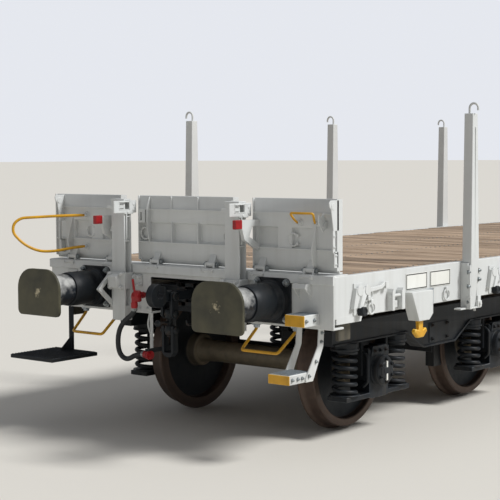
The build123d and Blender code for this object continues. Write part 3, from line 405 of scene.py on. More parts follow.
def greasy_buffer_face(name, side_y):
    """Forged steel face with an even coat of old grease, rubbed bright in spots at its middle."""
    material, tree, shader, place = start_material(name)
    centred = add_node(
        tree,
        "ShaderNodeMapping",
        {"Vector": place, "Location": (0, -side_y / 1000, -BUFFER_Z / 1000)},
    )
    across = add_node(
        tree, "ShaderNodeVectorMath", {0: centred.outputs[0], 1: (0.0, 1.0, 1.0)}, operation="MULTIPLY"
    )
    reach = add_node(tree, "ShaderNodeVectorMath", {0: across.outputs[0]}, operation="LENGTH")
    blotch = add_node(
        tree, "ShaderNodeTexNoise",
        {"Vector": place, "Scale": per_metre(45), "Detail": 6.0, "Roughness": 0.7}
    )
    smear = add_node(
        tree, "ShaderNodeTexNoise", {"Vector": place, "Scale": per_metre(160), "Detail": 4.0}
    )
    grease = add_node(tree, "ShaderNodeValToRGB", {"Fac": smear.outputs["Fac"]})
    grease.color_ramp.elements[0].position = 0.3
    grease.color_ramp.elements[0].color = rgba(linear("#38372B"))
    grease.color_ramp.elements[1].position = 0.75
    grease.color_ramp.elements[1].color = rgba(linear("#5E5B48"))
    middle = add_node(
        tree,
        "ShaderNodeMapRange",
        {
            "Value": reach.outputs["Value"], "From Min": 0.12, "From Max": 0.0, "To Min": -0.32,
            "To Max": 0.17
        },
    )
    rubbed = add_node(
        tree, "ShaderNodeMath", {0: blotch.outputs["Fac"], 1: middle.outputs[0]}, operation="ADD"
    )
    share = add_node(
        tree, "ShaderNodeMapRange", {"Value": rubbed.outputs[0], "From Min": 0.56, "From Max": 0.66}
    )
    colour = add_node(
        tree,
        "ShaderNodeMix",
        {0: share.outputs[0], 6: grease.outputs["Color"], 7: rgba(linear("#B5AB8E"))},
        data_type="RGBA",
    )
    rough = add_node(
        tree, "ShaderNodeMapRange",
        {"Value": smear.outputs["Fac"], "From Min": 0.3, "From Max": 0.7, "To Min": 0.38, "To Max": 0.62}
    )
    relief = add_node(
        tree, "ShaderNodeBump", {"Height": blotch.outputs["Fac"], "Strength": 0.25, "Distance": 0.002}
    )
    tree.links.new(colour.outputs[2], shader.inputs["Base Color"])
    tree.links.new(rough.outputs[0], shader.inputs["Roughness"])
    tree.links.new(relief.outputs[0], shader.inputs["Normal"])
    shader.inputs["Metallic"].default_value = 0.25
    return material


def wheel_steel(name, axle_x):
    """Rolled wheel: pale olive axle and hub lightened as painted sunlight, black painted web, brown rusted
    rim side and a dull tread, by distance from the axle.
    """
    material, tree, shader, place = start_material(name)
    centred = add_node(
        tree, "ShaderNodeMapping", {"Vector": place, "Location": (-axle_x / 1000, 0, -AXLE_Z / 1000)}
    )
    flat = add_node(
        tree, "ShaderNodeVectorMath", {0: centred.outputs[0], 1: (1.0, 0.0, 1.0)}, operation="MULTIPLY"
    )
    radius = add_node(tree, "ShaderNodeVectorMath", {0: flat.outputs[0]}, operation="LENGTH")
    film = add_node(
        tree, "ShaderNodeTexNoise",
        {"Vector": place, "Scale": per_metre(55), "Detail": 6.0, "Roughness": 0.65}
    )
    edge = add_node(
        tree, "ShaderNodeMath", {0: film.outputs["Fac"], 1: 0.012, 2: radius.outputs["Value"]},
        operation="MULTIPLY_ADD"
    )
    rings = add_node(tree, "ShaderNodeValToRGB", {"Fac": edge.outputs[0]})
    ramp = rings.color_ramp
    ramp.interpolation = "LINEAR"
    # Axle and hub: dusty olive, made lighter as painted sunlight on them
    ramp.elements[0].position = 0.128
    ramp.elements[0].color = rgba(linear("#7C7260"))
    ramp.elements[1].position = 0.50
    ramp.elements[1].color = rgba(linear("#57483F"))
    for position, hex_colour in (
        (0.150, "#1B2025"), (0.392, "#1B2025"), (0.408, "#5A4A40"), (0.462, "#4B3D35")
    ):
        ramp.elements.new(position).color = rgba(linear(hex_colour))
    stain = add_node(
        tree,
        "ShaderNodeMapRange",
        {"Value": film.outputs["Fac"], "From Min": 0.3, "From Max": 0.7, "To Min": 0.75, "To Max": 1.25},
    )
    colour = add_node(
        tree,
        "ShaderNodeMix",
        {0: 1.0, 6: rings.outputs["Color"], 7: stain.outputs[0]},
        data_type="RGBA",
        blend_type="MULTIPLY",
    )
    rough = add_node(
        tree, "ShaderNodeMapRange",
        {"Value": film.outputs["Fac"], "From Min": 0.3, "From Max": 0.7, "To Min": 0.42, "To Max": 0.7}
    )
    relief = add_node(
        tree, "ShaderNodeBump", {"Height": film.outputs["Fac"], "Strength": 0.2, "Distance": 0.002}
    )
    tree.links.new(colour.outputs[2], shader.inputs["Base Color"])
    tree.links.new(rough.outputs[0], shader.inputs["Roughness"])
    tree.links.new(relief.outputs[0], shader.inputs["Normal"])
    shader.inputs["Metallic"].default_value = 0.4
    return material


def sleeve_wear_and_top_highlight(name):
    """Black enamel of the buffer's sleeve, rubbed down to pale bare steel towards the head, with a painted
    highlight that makes its upper half paler.
    """
    material, tree, shader, place = start_material(name)
    parts = add_node(tree, "ShaderNodeSeparateXYZ", {"Vector": place})
    along = add_node(tree, "ShaderNodeMath", {0: parts.outputs["X"]}, operation="ABSOLUTE")
    back = -BUFFER_X / 1000
    near = add_node(
        tree,
        "ShaderNodeMapRange",
        {
            "Value": along.outputs[0], "From Min": back - 0.29, "From Max": back - 0.06, "To Min": -0.12,
            "To Max": 0.2
        },
    )
    rise = add_node(
        tree, "ShaderNodeMath", {0: parts.outputs["Z"], 1: BUFFER_Z / 1000}, operation="SUBTRACT"
    )
    # Painted highlight: the sleeve turns paler above its axis, as if lit from above
    high = add_node(
        tree,
        "ShaderNodeMapRange",
        {"Value": rise.outputs[0], "From Min": -0.09, "From Max": 0.05, "To Min": -0.3, "To Max": 0.12},
    )
    spots = add_node(
        tree, "ShaderNodeTexNoise",
        {"Vector": place, "Scale": per_metre(90), "Detail": 5.0, "Roughness": 0.6}
    )
    # Wear towards the head plus the painted highlight on the upper half
    wear_plus_painted_highlight = add_node(tree, "ShaderNodeMath", {0: near.outputs[0], 1: high.outputs[0]}, operation="ADD")
    worn = add_node(tree, "ShaderNodeMath", {0: spots.outputs["Fac"], 1: wear_plus_painted_highlight.outputs[0]}, operation="ADD")
    share = add_node(
        tree, "ShaderNodeMapRange", {"Value": worn.outputs[0], "From Min": 0.40, "From Max": 0.74}
    )
    colour = add_node(
        tree,
        "ShaderNodeMix",
        {0: share.outputs[0], 6: rgba(linear("#1B2026")), 7: rgba(linear("#A9A9A6"))},
        data_type="RGBA",
    )
    rough = add_node(
        tree, "ShaderNodeMapRange", {"Value": share.outputs[0], "To Min": 0.34, "To Max": 0.6}
    )
    relief = add_node(
        tree, "ShaderNodeBump", {"Height": spots.outputs["Fac"], "Strength": 0.2, "Distance": 0.002}
    )
    tree.links.new(colour.outputs[2], shader.inputs["Base Color"])
    tree.links.new(rough.outputs[0], shader.inputs["Roughness"])
    tree.links.new(relief.outputs[0], shader.inputs["Normal"])
    return material


def hose_rubber(name):
    """Vulcanised rubber with the fine cross marks of its cloth wrap, one to 6 mm."""
    material, tree, shader, place = start_material(name)
    wrap = add_node(
        tree, "ShaderNodeTexWave", {"Vector": place, "Scale": per_metre(6) / 20, "Distortion": 1.5},
        bands_direction="Z"
    )
    dust = add_node(tree, "ShaderNodeTexNoise", {"Vector": place, "Scale": per_metre(40), "Detail": 4.0})
    colour = add_node(
        tree,
        "ShaderNodeMix",
        {0: dust.outputs["Fac"], 6: rgba(linear("#191B1E")), 7: rgba(linear("#303234"))},
        data_type="RGBA",
    )
    relief = add_node(
        tree, "ShaderNodeBump", {"Height": wrap.outputs["Fac"], "Strength": 0.2, "Distance": 0.001}
    )
    tree.links.new(colour.outputs[2], shader.inputs["Base Color"])
    tree.links.new(relief.outputs[0], shader.inputs["Normal"])
    shader.inputs["Roughness"].default_value = 0.62
    return material


FINISHES = {}


def finish(name):
    """The wagon's materials by short name, each made once."""
    if name in FINISHES:
        return FINISHES[name]
    paint = colours()
    black = tuple(paint.black)
    grey = tuple(paint.grey)
    makers = {
        # Brushed alkyd enamel, semi-gloss: an even light grey with faint clouds and rain marks
        "grey": lambda: weathered_paint(
            "light_grey_alkyd_enamel", grey, [c * 0.9 for c in grey], linear("#9A958A"), 0.36, dusty=0.3
        ),
        # The same enamel where an edge has been knocked: brighter, with small brown chips
        "grey_edge": lambda: weathered_paint(
            "light_grey_enamel_worn_edge", [min(1, c * 1.12) for c in grey], grey, linear("#8C8374"), 0.45,
            patch=90, chips=0.06,
        ),
        # Thick two-coat yellow enamel on bent bar
        "yellow": lambda: weathered_paint(
            "yellow_safety_enamel", tuple(paint.yellow), linear("#C48F18"), linear("#6E5A2A"), 0.34,
            patch=160, dusty=0.45, chips=0.03,
        ),
        "yellow_edge": lambda: weathered_paint(
            "yellow_enamel_worn_edge", linear("#E8BE4A"), tuple(paint.yellow), linear("#6E5A2A"), 0.45,
            patch=60, chips=0.08,
        ),
        # Red enamel on cast cock bodies
        "red": lambda: weathered_paint(
            "red_cock_enamel", tuple(paint.red), linear("#8A1418"), linear("#3A2220"), 0.32, patch=70,
            dusty=0.4
        ),
        # Satin black enamel under road and brake dust, which takes half of its shine
        "black": lambda: weathered_paint(
            "satin_black_enamel", black, [c * 1.35 + 0.002 for c in black], linear("#4A443C"), 0.42,
            patch=400, dusty=0.35, bump=0.2, specular=0.25,
        ),
        "black_edge": lambda: weathered_paint(
            "black_enamel_worn_edge", [c * 2.6 + 0.01 for c in black], black, linear("#574E44"), 0.4,
            patch=80,
            specular=0.25,
        ),
        # Wood preservative and dust on the brake cylinders
        "olive": lambda: weathered_paint(
            "dusty_olive_enamel", linear("#3B382F"), linear("#4C483C"), linear("#6E6553"), 0.5, patch=120,
            dusty=0.6
        ),
        # Hot-dip zinc: pale, slightly blue and rough, as on treads and small plates
        "zinc": lambda: weathered_paint(
            "hot_dip_zinc", linear("#B4BCC2"), linear("#97A0A7"), linear("#7D7A70"), 0.42, metallic=0.55,
            patch=18, dusty=0.3, peel=3,
        ),
        # Blank sign face: white enamel on sheet
        "sign": lambda: weathered_paint(
            "white_sign_enamel", linear("#E9E9E4"), linear("#DCDCD4"), linear("#A59F90"), 0.35, dusty=0.3
        ),
        "sign_line": lambda: weathered_paint(
            "black_sign_border_enamel", linear("#2A2A2A"), linear("#363636"), linear("#555048"), 0.4
        ),
        "sleeve": lambda: sleeve_wear_and_top_highlight("black_enamel_worn_sleeve"),
        "forged": lambda: rolled_steel(
            "forged_drawgear_steel", linear("#23272A"), linear("#3A302A"), 0.42, bar=40, rusty=0.5,
            metallic=0.6
        ),
        "bolt": lambda: rolled_steel(
            "zinc_plated_bolt_steel", linear("#9BA1A3"), linear("#6F675C"), 0.38, bar=20, rusty=0.25
        ),
        "rubber": lambda: hose_rubber("vulcanised_hose_rubber"),
        "planks": lambda: weathered_planks("weathered_hardwood_planks", tuple(paint.timber)),
    }
    FINISHES[name] = makers[name]()
    return FINISHES[name]


# Mesh making


class Fitting:
    """Closed solids in millimetres that become one piece on one body."""

    def __init__(self):
        self.mesh = bmesh.new()

    def block(self, x, y, z):
        """A box between two X, two Y and two Z values."""
        corners = [
            self.mesh.verts.new((a, b, c)) for a in sorted(x) for b in sorted(y) for c in sorted(z)
        ]
        for face in ((0, 1, 3, 2), (4, 6, 7, 5), (0, 4, 5, 1), (2, 3, 7, 6), (0, 2, 6, 4), (1, 5, 7, 3)):
            self.mesh.faces.new([corners[i] for i in face])

    def prism(self, outline, axis, span):
        """An outline of points carried along X or Y from one end of the span to the other."""
        rings = []
        for level in span:
            if axis == "X":
                points = [(level, a, b) for a, b in outline]
            else:
                points = [(a, level, b) for a, b in outline]
            rings.append([self.mesh.verts.new(p) for p in points])
        self.mesh.faces.new(rings[0][::-1])
        self.mesh.faces.new(rings[1])
        for i in range(len(outline)):
            j = (i + 1) % len(outline)
            self.mesh.faces.new((rings[0][i], rings[0][j], rings[1][j], rings[1][i]))

    def lathe(self, start, axis, profile, sides=32):
        """A profile of (distance along, radius) points turned about an axis through start."""
        along = Vector(axis).normalized()
        side = along.orthogonal().normalized()
        other = along.cross(side)
        start = Vector(start)
        rings = []
        for distance, radius in profile:
            centre = start + along * distance
            if radius < 1e-6:
                rings.append([self.mesh.verts.new(centre)])
                continue
            rings.append(
                [
                    self.mesh.verts.new(
                        centre
                        + side * radius * math.cos(2 * math.pi * k / sides)
                        + other * radius * math.sin(2 * math.pi * k / sides)
                    )
                    for k in range(sides)
                ]
            )
        for low, high in zip(rings, rings[1:]):
            for k in range(sides):
                m = (k + 1) % sides
                if len(low) == 1 and len(high) > 1:
                    self.mesh.faces.new((low[0], high[k], high[m]))
                elif len(high) == 1 and len(low) > 1:
                    self.mesh.faces.new((low[k], high[0], low[m]))
                elif len(low) > 1:
                    self.mesh.faces.new((low[k], high[k], high[m], low[m]))
        for ring in (rings[0], rings[-1]):
            if len(ring) > 1:
                self.mesh.faces.new(ring)

    def rod(self, start, end, radius, sides=16):
        """A round bar between two points."""
        run = Vector(end) - Vector(start)
        self.lathe(start, run, [(0, radius), (run.length, radius)], sides)

    def pipe(self, points, radius, bend=30, sides=14, steps=6):
        """A round bar along straight runs with rounded bends."""
        points = [Vector(p) for p in points]
        path = [points[0]]
        for before, corner, after in zip(points, points[1:], points[2:]):
            back, on = (before - corner), (after - corner)
            reach = min(bend, back.length * 0.48, on.length * 0.48)
            a, b = corner + back.normalized() * reach, corner + on.normalized() * reach
            for k in range(steps + 1):
                t = k / steps
                path.append(a * (1 - t) ** 2 + corner * 2 * t * (1 - t) + b * t * t)
        path.append(points[-1])
        self.sweep(path, radius, sides)

    def sweep(self, path, radius, sides=14, closed=False):
        """A round section carried along a path without twisting."""
        count = len(path)
        rings = []
        side = None
        for i, point in enumerate(path):
            ahead = path[(i + 1) % count] if closed or i < count - 1 else point
            behind = path[i - 1] if closed or i > 0 else point
            along = (ahead - behind).normalized()
            side = along.orthogonal() if side is None else side - along * side.dot(along)
            side.normalize()
            other = along.cross(side)
            rings.append(
                [
                    self.mesh.verts.new(
                        point
                        + side * radius * math.cos(2 * math.pi * k / sides)
                        + other * radius * math.sin(2 * math.pi * k / sides)
                    )
                    for k in range(sides)
                ]
            )
        pairs = list(zip(rings, rings[1:])) + ([(rings[-1], rings[0])] if closed else [])
        for low, high in pairs:
            for k in range(sides):
                m = (k + 1) % sides
                self.mesh.faces.new((low[k], high[k], high[m], low[m]))
        if not closed:
            self.mesh.faces.new(rings[0])
            self.mesh.faces.new(rings[-1])

    def arc(self, centre, radius, bar, start, end, plane="XZ", sides=12, steps=20):
        """Part of a round hoop in a plane, between two angles in degrees."""
        path = []
        for k in range(steps + 1):
            angle = math.radians(start + (end - start) * k / steps)
            a, b = radius * math.cos(angle), radius * math.sin(angle)
            path.append(Vector(centre) + Vector((a, 0, b) if plane == "XZ" else (0, a, b)))
        if abs(end - start) >= 360:
            self.sweep(path[:-1], bar, sides, closed=True)
        else:
            self.sweep(path, bar, sides)

    def copied(self, matrix):
        """Adds a copy of all that is here, moved by a matrix."""
        made = bmesh.ops.duplicate(
            self.mesh, geom=self.mesh.verts[:] + self.mesh.edges[:] + self.mesh.faces[:]
        )
        fresh = [g for g in made["geom"] if isinstance(g, bmesh.types.BMVert)]
        bmesh.ops.transform(self.mesh, matrix=matrix, verts=fresh)

    def both_sides(self):
        """Adds the same on the wagon's other side, mirrored."""
        self.copied(Matrix.Scale(-1, 4, (0, 1, 0)))

    def both_ends(self):
        """Adds the same at the rear end, turned half round."""
        self.copied(Matrix.Rotation(math.pi, 4, "Z"))

    def finish(self, name, body, paint, slot, edge_paint=None, edge=None, turned=False, replaces=()):
        """Turns the solids into a piece in metres, breaks its edges and rides it on its body."""
        if turned:
            bmesh.ops.rotate(self.mesh, matrix=Matrix.Rotation(math.pi, 3, "Z"), verts=self.mesh.verts)
        bmesh.ops.recalc_face_normals(self.mesh, faces=self.mesh.faces)
        bmesh.ops.scale(self.mesh, vec=(0.001,) * 3, verts=self.mesh.verts)
        mesh = bpy.data.meshes.new(name)
        self.mesh.to_mesh(mesh)
        self.mesh.free()
        return dress(mesh, name, body, paint, edge_paint, edge, replaces)


def dress(mesh, name, body, paint, edge_paint=None, edge=None, replaces=()):
    """Gives a mesh its materials and broken edges, and makes it a piece on a body."""
    obj = bpy.data.objects.new(name, mesh)
    bpy.context.scene.collection.objects.link(obj)
    mesh.materials.clear()
    mesh.materials.append(finish(paint) if isinstance(paint, str) else paint)
    if edge != 0:
        bevel = obj.modifiers.new("edge_break", "BEVEL")
        bevel.width = edge if edge else sizes().edge
        bevel.segments = 1
        bevel.limit_method = "ANGLE"
        bevel.angle_limit = math.radians(42)
        bevel.use_clamp_overlap = True
        bevel.miter_outer = "MITER_SHARP"
        if edge_paint:
            mesh.materials.append(finish(edge_paint))
            bevel.material = 1
        obj = plain(obj)
    obj.data.shade_smooth()
    obj.data.set_sharp_from_angle(angle=math.radians(33))
    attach(obj, body)
    if replaces:
        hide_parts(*replaces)
    return obj


def plain(obj):
    """The object with its modifiers turned into plain mesh."""
    bpy.context.view_layer.update()
    evaluated = obj.evaluated_get(bpy.context.evaluated_depsgraph_get())
    mesh = bpy.data.meshes.new_from_object(evaluated)
    name = obj.name
    old = obj.data
    obj.modifiers.clear()
    obj.data = mesh
    if isinstance(old, bpy.types.Mesh):
        bpy.data.meshes.remove(old)
    mesh.name = name
    return obj


def edge_broken(node, paint, edge_paint, edge=None):
    """A copy of a CAD node with its seams merged and its edges broken, in place of the node."""
    source = frame["nodes"][node]
    solid = bmesh.new()
    solid.from_mesh(source.data)
    bmesh.ops.remove_doubles(solid, verts=solid.verts, dist=2e-5)
    bmesh.ops.dissolve_limit(
        solid, angle_limit=math.radians(0.6), verts=solid.verts, edges=solid.edges
    )
    mesh = bpy.data.meshes.new(node + "_painted")
    solid.to_mesh(mesh)
    solid.free()
    return dress(
        mesh, node + "_painted", body_of_node(node), paint, edge_paint, edge, (node,)
    )


def body_of_node(node):
    for body, members in frame["record"]["behaviour"]["bodies"].items():
        if node in members:
            return body
    raise ValueError(f"no body holds {node}")


def repaint(node, paint):
    """Gives a CAD node that keeps its shape its finish."""
    target = frame["nodes"][node]
    target.data.materials.clear()
    target.data.materials.append(finish(paint))


# Repeats by geometry nodes


def scatter_tree():
    """One tree that stands a shape on every point, along the point's facing."""
    tree = bpy.data.node_groups.get("stand_on_points")
    if tree:
        return tree
    tree = bpy.data.node_groups.new("stand_on_points", "GeometryNodeTree")
    for name, kind in (
        ("Points", "Geometry"), ("Shape", "Object"), ("Size", "Float"), ("Paint", "Material")
    ):
        tree.interface.new_socket(name, in_out="INPUT", socket_type="NodeSocket" + kind)
    tree.interface.new_socket("Geometry", in_out="OUTPUT", socket_type="NodeSocketGeometry")
    given = add_node(tree, "NodeGroupInput")
    facing = add_node(tree, "GeometryNodeInputNamedAttribute", {"Name": "facing"}, data_type="FLOAT_VECTOR")
    spin = add_node(tree, "FunctionNodeAlignRotationToVector", {"Vector": facing.outputs[0]}, axis="Z")
    shape = add_node(tree, "GeometryNodeObjectInfo", {"Object": given.outputs["Shape"]})
    placed = add_node(
        tree,
        "GeometryNodeInstanceOnPoints",
        {
            "Points": given.outputs["Points"],
            "Instance": shape.outputs["Geometry"],
            "Rotation": spin.outputs[0],
            "Scale": given.outputs["Size"],
        },
    )
    real = add_node(tree, "GeometryNodeRealizeInstances", {0: placed.outputs[0]})
    painted = add_node(
        tree, "GeometryNodeSetMaterial", {"Geometry": real.outputs[0], "Material": given.outputs["Paint"]}
    )
    add_node(tree, "NodeGroupOutput", {0: painted.outputs[0]})
    return tree


def coil_tree():
    """One tree that winds a bar into a coil on every point."""
    tree = bpy.data.node_groups.get("wind_on_points")
    if tree:
        return tree
    tree = bpy.data.node_groups.new("wind_on_points", "GeometryNodeTree")
    for name, kind in (
        ("Points", "Geometry"), ("Turns", "Float"), ("Coil radius", "Float"), ("Bar radius", "Float"),
        ("Height", "Float"), ("Steps a turn", "Int"), ("Bar sides", "Int"), ("Paint", "Material"),
    ):
        tree.interface.new_socket(name, in_out="INPUT", socket_type="NodeSocket" + kind)
    tree.interface.new_socket("Geometry", in_out="OUTPUT", socket_type="NodeSocketGeometry")
    given = add_node(tree, "NodeGroupInput")
    coil = add_node(
        tree,
        "GeometryNodeCurveSpiral",
        {
            "Resolution": given.outputs["Steps a turn"],
            "Rotations": given.outputs["Turns"],
            "Start Radius": given.outputs["Coil radius"],
            "End Radius": given.outputs["Coil radius"],
            "Height": given.outputs["Height"],
        },
    )
    section = add_node(
        tree,
        "GeometryNodeCurvePrimitiveCircle",
        {"Resolution": given.outputs["Bar sides"], "Radius": given.outputs["Bar radius"]},
    )
    bar = add_node(
        tree,
        "GeometryNodeCurveToMesh",
        {"Curve": coil.outputs[0], "Profile Curve": section.outputs[0], "Fill Caps": True},
    )
    smooth = add_node(tree, "GeometryNodeSetShadeSmooth", {0: bar.outputs[0]})
    placed = add_node(
        tree, "GeometryNodeInstanceOnPoints",
        {"Points": given.outputs["Points"], "Instance": smooth.outputs[0]}
    )
    real = add_node(tree, "GeometryNodeRealizeInstances", {0: placed.outputs[0]})
    painted = add_node(
        tree, "GeometryNodeSetMaterial", {"Geometry": real.outputs[0], "Material": given.outputs["Paint"]}
    )
    add_node(tree, "NodeGroupOutput", {0: painted.outputs[0]})
    return tree


def points_object(name, places, facings=None):
    """A mesh of loose points in metres, each with the way it faces."""
    mesh = bpy.data.meshes.new(name)
    mesh.from_pydata([tuple(v / 1000 for v in p) for p in places], [], [])
    if facings:
        attribute = mesh.attributes.new("facing", "FLOAT_VECTOR", "POINT")
        for item, facing in zip(attribute.data, facings):
            item.vector = facing
    obj = bpy.data.objects.new(name, mesh)
    bpy.context.scene.collection.objects.link(obj)
    return obj


def grow(obj, tree, values, body, replaces=()):
    """Runs a tree on an object with inputs by name, keeps the result as plain mesh and rides it."""
    modifier = obj.modifiers.new("grow", "NODES")
    modifier.node_group = tree
    for item in tree.interface.items_tree:
        if item.in_out == "INPUT" and item.name in values:
            modifier[item.identifier] = values[item.name]
    obj = plain(obj)
    for attribute in [a.name for a in obj.data.attributes if a.name == "facing"]:
        obj.data.attributes.remove(obj.data.attributes[attribute])
    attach(obj, body)
    if replaces:
        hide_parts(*replaces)
    return obj


def shape_source(kind):
    """A fastener one unit across, its seat at the origin and its head along Z."""
    part = Fitting()
    if kind == "hexagon":
        part.lathe((0, 0, 0), (0, 0, 1), [(0, 0.78), (0.12, 0.78), (0.12, 0.0)], 12)
        part.lathe((0, 0, 0.12), (0, 0, 1), [(0, 0.577), (0.5, 0.577), (0.6, 0.46), (0.6, 0)], 6)
        part.lathe((0, 0, 0.7), (0, 0, 1), [(0, 0.3), (0.28, 0.3), (0.32, 0.2), (0.32, 0)], 8)
    elif kind == "dome":
        part.lathe((0, 0, 0), (0, 0, 1), [(0, 0.5), (0.18, 0.46), (0.32, 0.3), (0.38, 0)], 10)
    elif kind == "cap":
        part.lathe((0, 0, 0), (0, 0, 1), [(0, 0.5), (0.3, 0.5), (0.36, 0.42), (0.36, 0)], 12)
    bmesh.ops.recalc_face_normals(part.mesh, faces=part.mesh.faces)
    mesh = bpy.data.meshes.new("fastener_" + kind)
    part.mesh.to_mesh(mesh)
    part.mesh.free()
    mesh.shade_smooth()
    mesh.set_sharp_from_angle(angle=math.radians(35))
    obj = bpy.data.objects.new("fastener_" + kind, mesh)
    bpy.context.scene.collection.objects.link(obj)
    return obj


def fasteners(name, body, kind, size, seats, paint, ends=True, sides=False):
    """Stands fasteners on seats of (place, facing), at both ends and both sides where asked."""
    seats = [(Vector(p), Vector(f)) for p, f in seats]
    if sides:
        flip = Matrix.Scale(-1, 3, (0, 1, 0))
        seats += [(flip @ p, flip @ f) for p, f in seats]
    if ends:
        turn = Matrix.Rotation(math.pi, 3, "Z")
        seats += [(turn @ p, turn @ f) for p, f in seats]
    obj = points_object(name, [p for p, _ in seats], [f for _, f in seats])
    source = shape_source(kind)
    made = grow(
        obj, scatter_tree(), {"Shape": source, "Size": size, "Paint": finish(paint)}, body
    )
    bpy.data.objects.remove(source)
    return made


# Operators, one for each group of pieces


class WAGON_OT_painted_steel(bpy.types.Operator):
    """Finish every CAD node, and break the edges of the plates and castings"""

    bl_idname = "wagon.painted_steel"
    bl_label = "Painted steel"

    def execute(self, context):
        for node in (
            "headstocks", "side_sills", "end_posts", "post_collars", "post_latches", "side_stakes",
            "stake_shoes", "lashing_brackets", "tow_brackets", "ladder_steps", "flap_hinges",
            "front_middle_flap", "front_far_flap", "front_near_flap",
            "rear_middle_flap", "rear_near_flap", "rear_far_flap",
        ):
            edge_broken(node, "grey", "grey_edge")
        edge_broken("tow_hooks", "yellow", "yellow_edge", 0.008)
        for node in (
            "drawgear_plates", "draw_hooks", "coupling_links", "coupling_bows", "body_bolsters",
            "step_boards",
            "front_bogie_frame", "rear_bogie_frame", "front_axleboxes", "rear_axleboxes",
            "front_brake_rigging", "rear_brake_rigging",
        ):
            edge_broken(node, "black", "black_edge", 0.004)
        for node in ("centre_beams", "cross_members"):
            repaint(node, "black")
        repaint("sign_plates", "sign")
        return {"FINISHED"}


class WAGON_OT_springs(bpy.types.Operator):
    """Wind the bogies' coil springs"""

    bl_idname = "wagon.springs"
    bl_label = "Coil springs"

    def execute(self, context):
        low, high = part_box("front_bogie_springs")
        radius = 0.098
        bar = sizes().spring_bar
        for end, sign in (("front", -1), ("rear", 1)):
            places = [
                (sign * BOGIE_X + axle + offset, side * 1000, (low.z + bar * 0.9) * 1000)
                for axle in (-AXLE_OFFSET, AXLE_OFFSET)
                for offset in (-SPRING_OFFSET, SPRING_OFFSET)
                for side in (-1, 1)
            ]
            grow(
                points_object(f"{end}_coil_springs", places),
                coil_tree(),
                {
                    "Turns": sizes().spring_turns,
                    "Coil radius": radius - bar,
                    "Bar radius": bar,
                    "Height": high.z - low.z - 1.8 * bar,
                    "Steps a turn": 24,
                    "Bar sides": 10,
                    "Paint": finish("black"),
                },
                f"{end}_bogie",
                (f"{end}_bogie_springs",),
            )
        return {"FINISHED"}


class WAGON_OT_handles(bpy.types.Operator):
    """Bend the yellow handles of the flaps and under the buffers"""

    bl_idname = "wagon.handles"
    bl_label = "Handles"

    def bow_point(self, share, height):
        """Point of the long bow, at a share of the way from the flap to its far end."""
        root, tip = (FLAP_FACE_X - 14, 1040), (BUFFER_X + 262, 1376)
        return (
            root[0] + share * (tip[0] - root[0]),
            root[1] + share * (tip[1] - root[1]),
            above_rail_mm(height),
        )

    def execute(self, context):
        long_route = [
            (FLAP_FACE_X, 1040, above_rail_mm(1602)),
            self.bow_point(0, 1602),
            self.bow_point(0.45, 1598),
            self.bow_point(0.96, 1586),
            self.bow_point(1.07, 1542),
            self.bow_point(1.08, 1470),
            self.bow_point(0.92, 1378),
            self.bow_point(0.70, 1322),
            self.bow_point(0.45, 1322),
            self.bow_point(0.22, 1346),
            self.bow_point(0, 1358),
            (FLAP_FACE_X, 1040, above_rail_mm(1358)),
        ]
        # Reach from the flap, height and how far the leg stands outside its root
        leg = ((0, 1600, 0), (34, 1600, 0), (60, 1625, 12), (88, 1668, 24))
        short_route = [(FLAP_FACE_X - x, -1065 + out, above_rail_mm(z)) for x, z, out in leg]
        short_route += [(FLAP_FACE_X - x, -1215 - out, above_rail_mm(z)) for x, z, out in reversed(leg)]
        for end, turned in (("front", False), ("rear", True)):
            for name, route, bar, bend in (
                ("long", long_route, LONG_BAR, 60), ("short", short_route, SHORT_BAR, 20),
            ):
                node = f"{end}_{name}_handle"
                part = Fitting()
                part.pipe(route, bar, bend, 18, 8)
                part.finish(
                    node + "_bent", body_of_node(node), "yellow", "yellow_paint", edge=0,
                    turned=turned, replaces=(node,),
                )
        rail = Fitting()
        root_x, root_z = HEADSTOCK_X + 40, above_rail_mm(877)
        low_x, low_z = HEADSTOCK_X - 135, above_rail_mm(704)
        inner_y, outer_y = RAIL_LEGS
        rail.pipe(
            [
                (root_x, outer_y, root_z),
                (root_x, outer_y, root_z - 36),
                (low_x, outer_y - 28, low_z),
                (low_x, inner_y, low_z),
                (root_x, inner_y, root_z - 36),
                (root_x, inner_y, root_z),
            ],
            LONG_BAR, 26, 18, 8,
        )
        rail.both_sides()
        rail.both_ends()
        rail.finish(
            "buffer_handrails_bent", "underframe", "yellow", "yellow_paint", edge=0,
            replaces=("buffer_handrails",),
        )
        return {"FINISHED"}


class WAGON_OT_wheelsets(bpy.types.Operator):
    """Turn the wheels with their flanges, webs and hubs, and the axles"""

    bl_idname = "wagon.wheelsets"
    bl_label = "Wheelsets"

    def execute(self, context):
        # Distance out from the middle of the axle and radius, with the flange and the curved web
        half = [
            (0, 86), (500, 86), (610, 90), (640, 104), (646, 124), (652, 130), (716, 130), (722, 140),
            (728, 180), (730, 250), (734, 340), (740, 388), (736, 398), (690, 398), (680, 404),
            (680, 482), (684, 486.5), (690, 488), (700, 486), (708, 478), (714, 468), (722, 462),
            (740, 460), (790, 458.5), (808, 457), (815, 451), (815, 406), (808, 398), (772, 398),
            (764, 392), (752, 340), (746, 250), (748, 180), (754, 140), (762, 130), (826, 130),
            (832, 124), (835, 100), (838, 82), (846, 65), (1076, 65),
        ]
        profile = [(-y, radius) for y, radius in reversed(half)] + half[1:]
        reach = half[-1][0]
        for end, sign in (("front", -1), ("rear", 1)):
            for place, offset in (("first", -AXLE_OFFSET), ("second", AXLE_OFFSET)):
                node = f"{end}_{place}_wheelset"
                x = sign * BOGIE_X + offset
                part = Fitting()
                part.lathe(
                    (x, -reach, AXLE_Z), (0, 1, 0), [(y + reach, radius) for y, radius in profile], 72
                )
                part.finish(
                    node + "_turned", body_of_node(node),
                    wheel_steel(f"rolled_wheel_steel_{end}_{place}", x),
                    "wheel_steel", edge=0, replaces=(node,),
                )
        return {"FINISHED"}


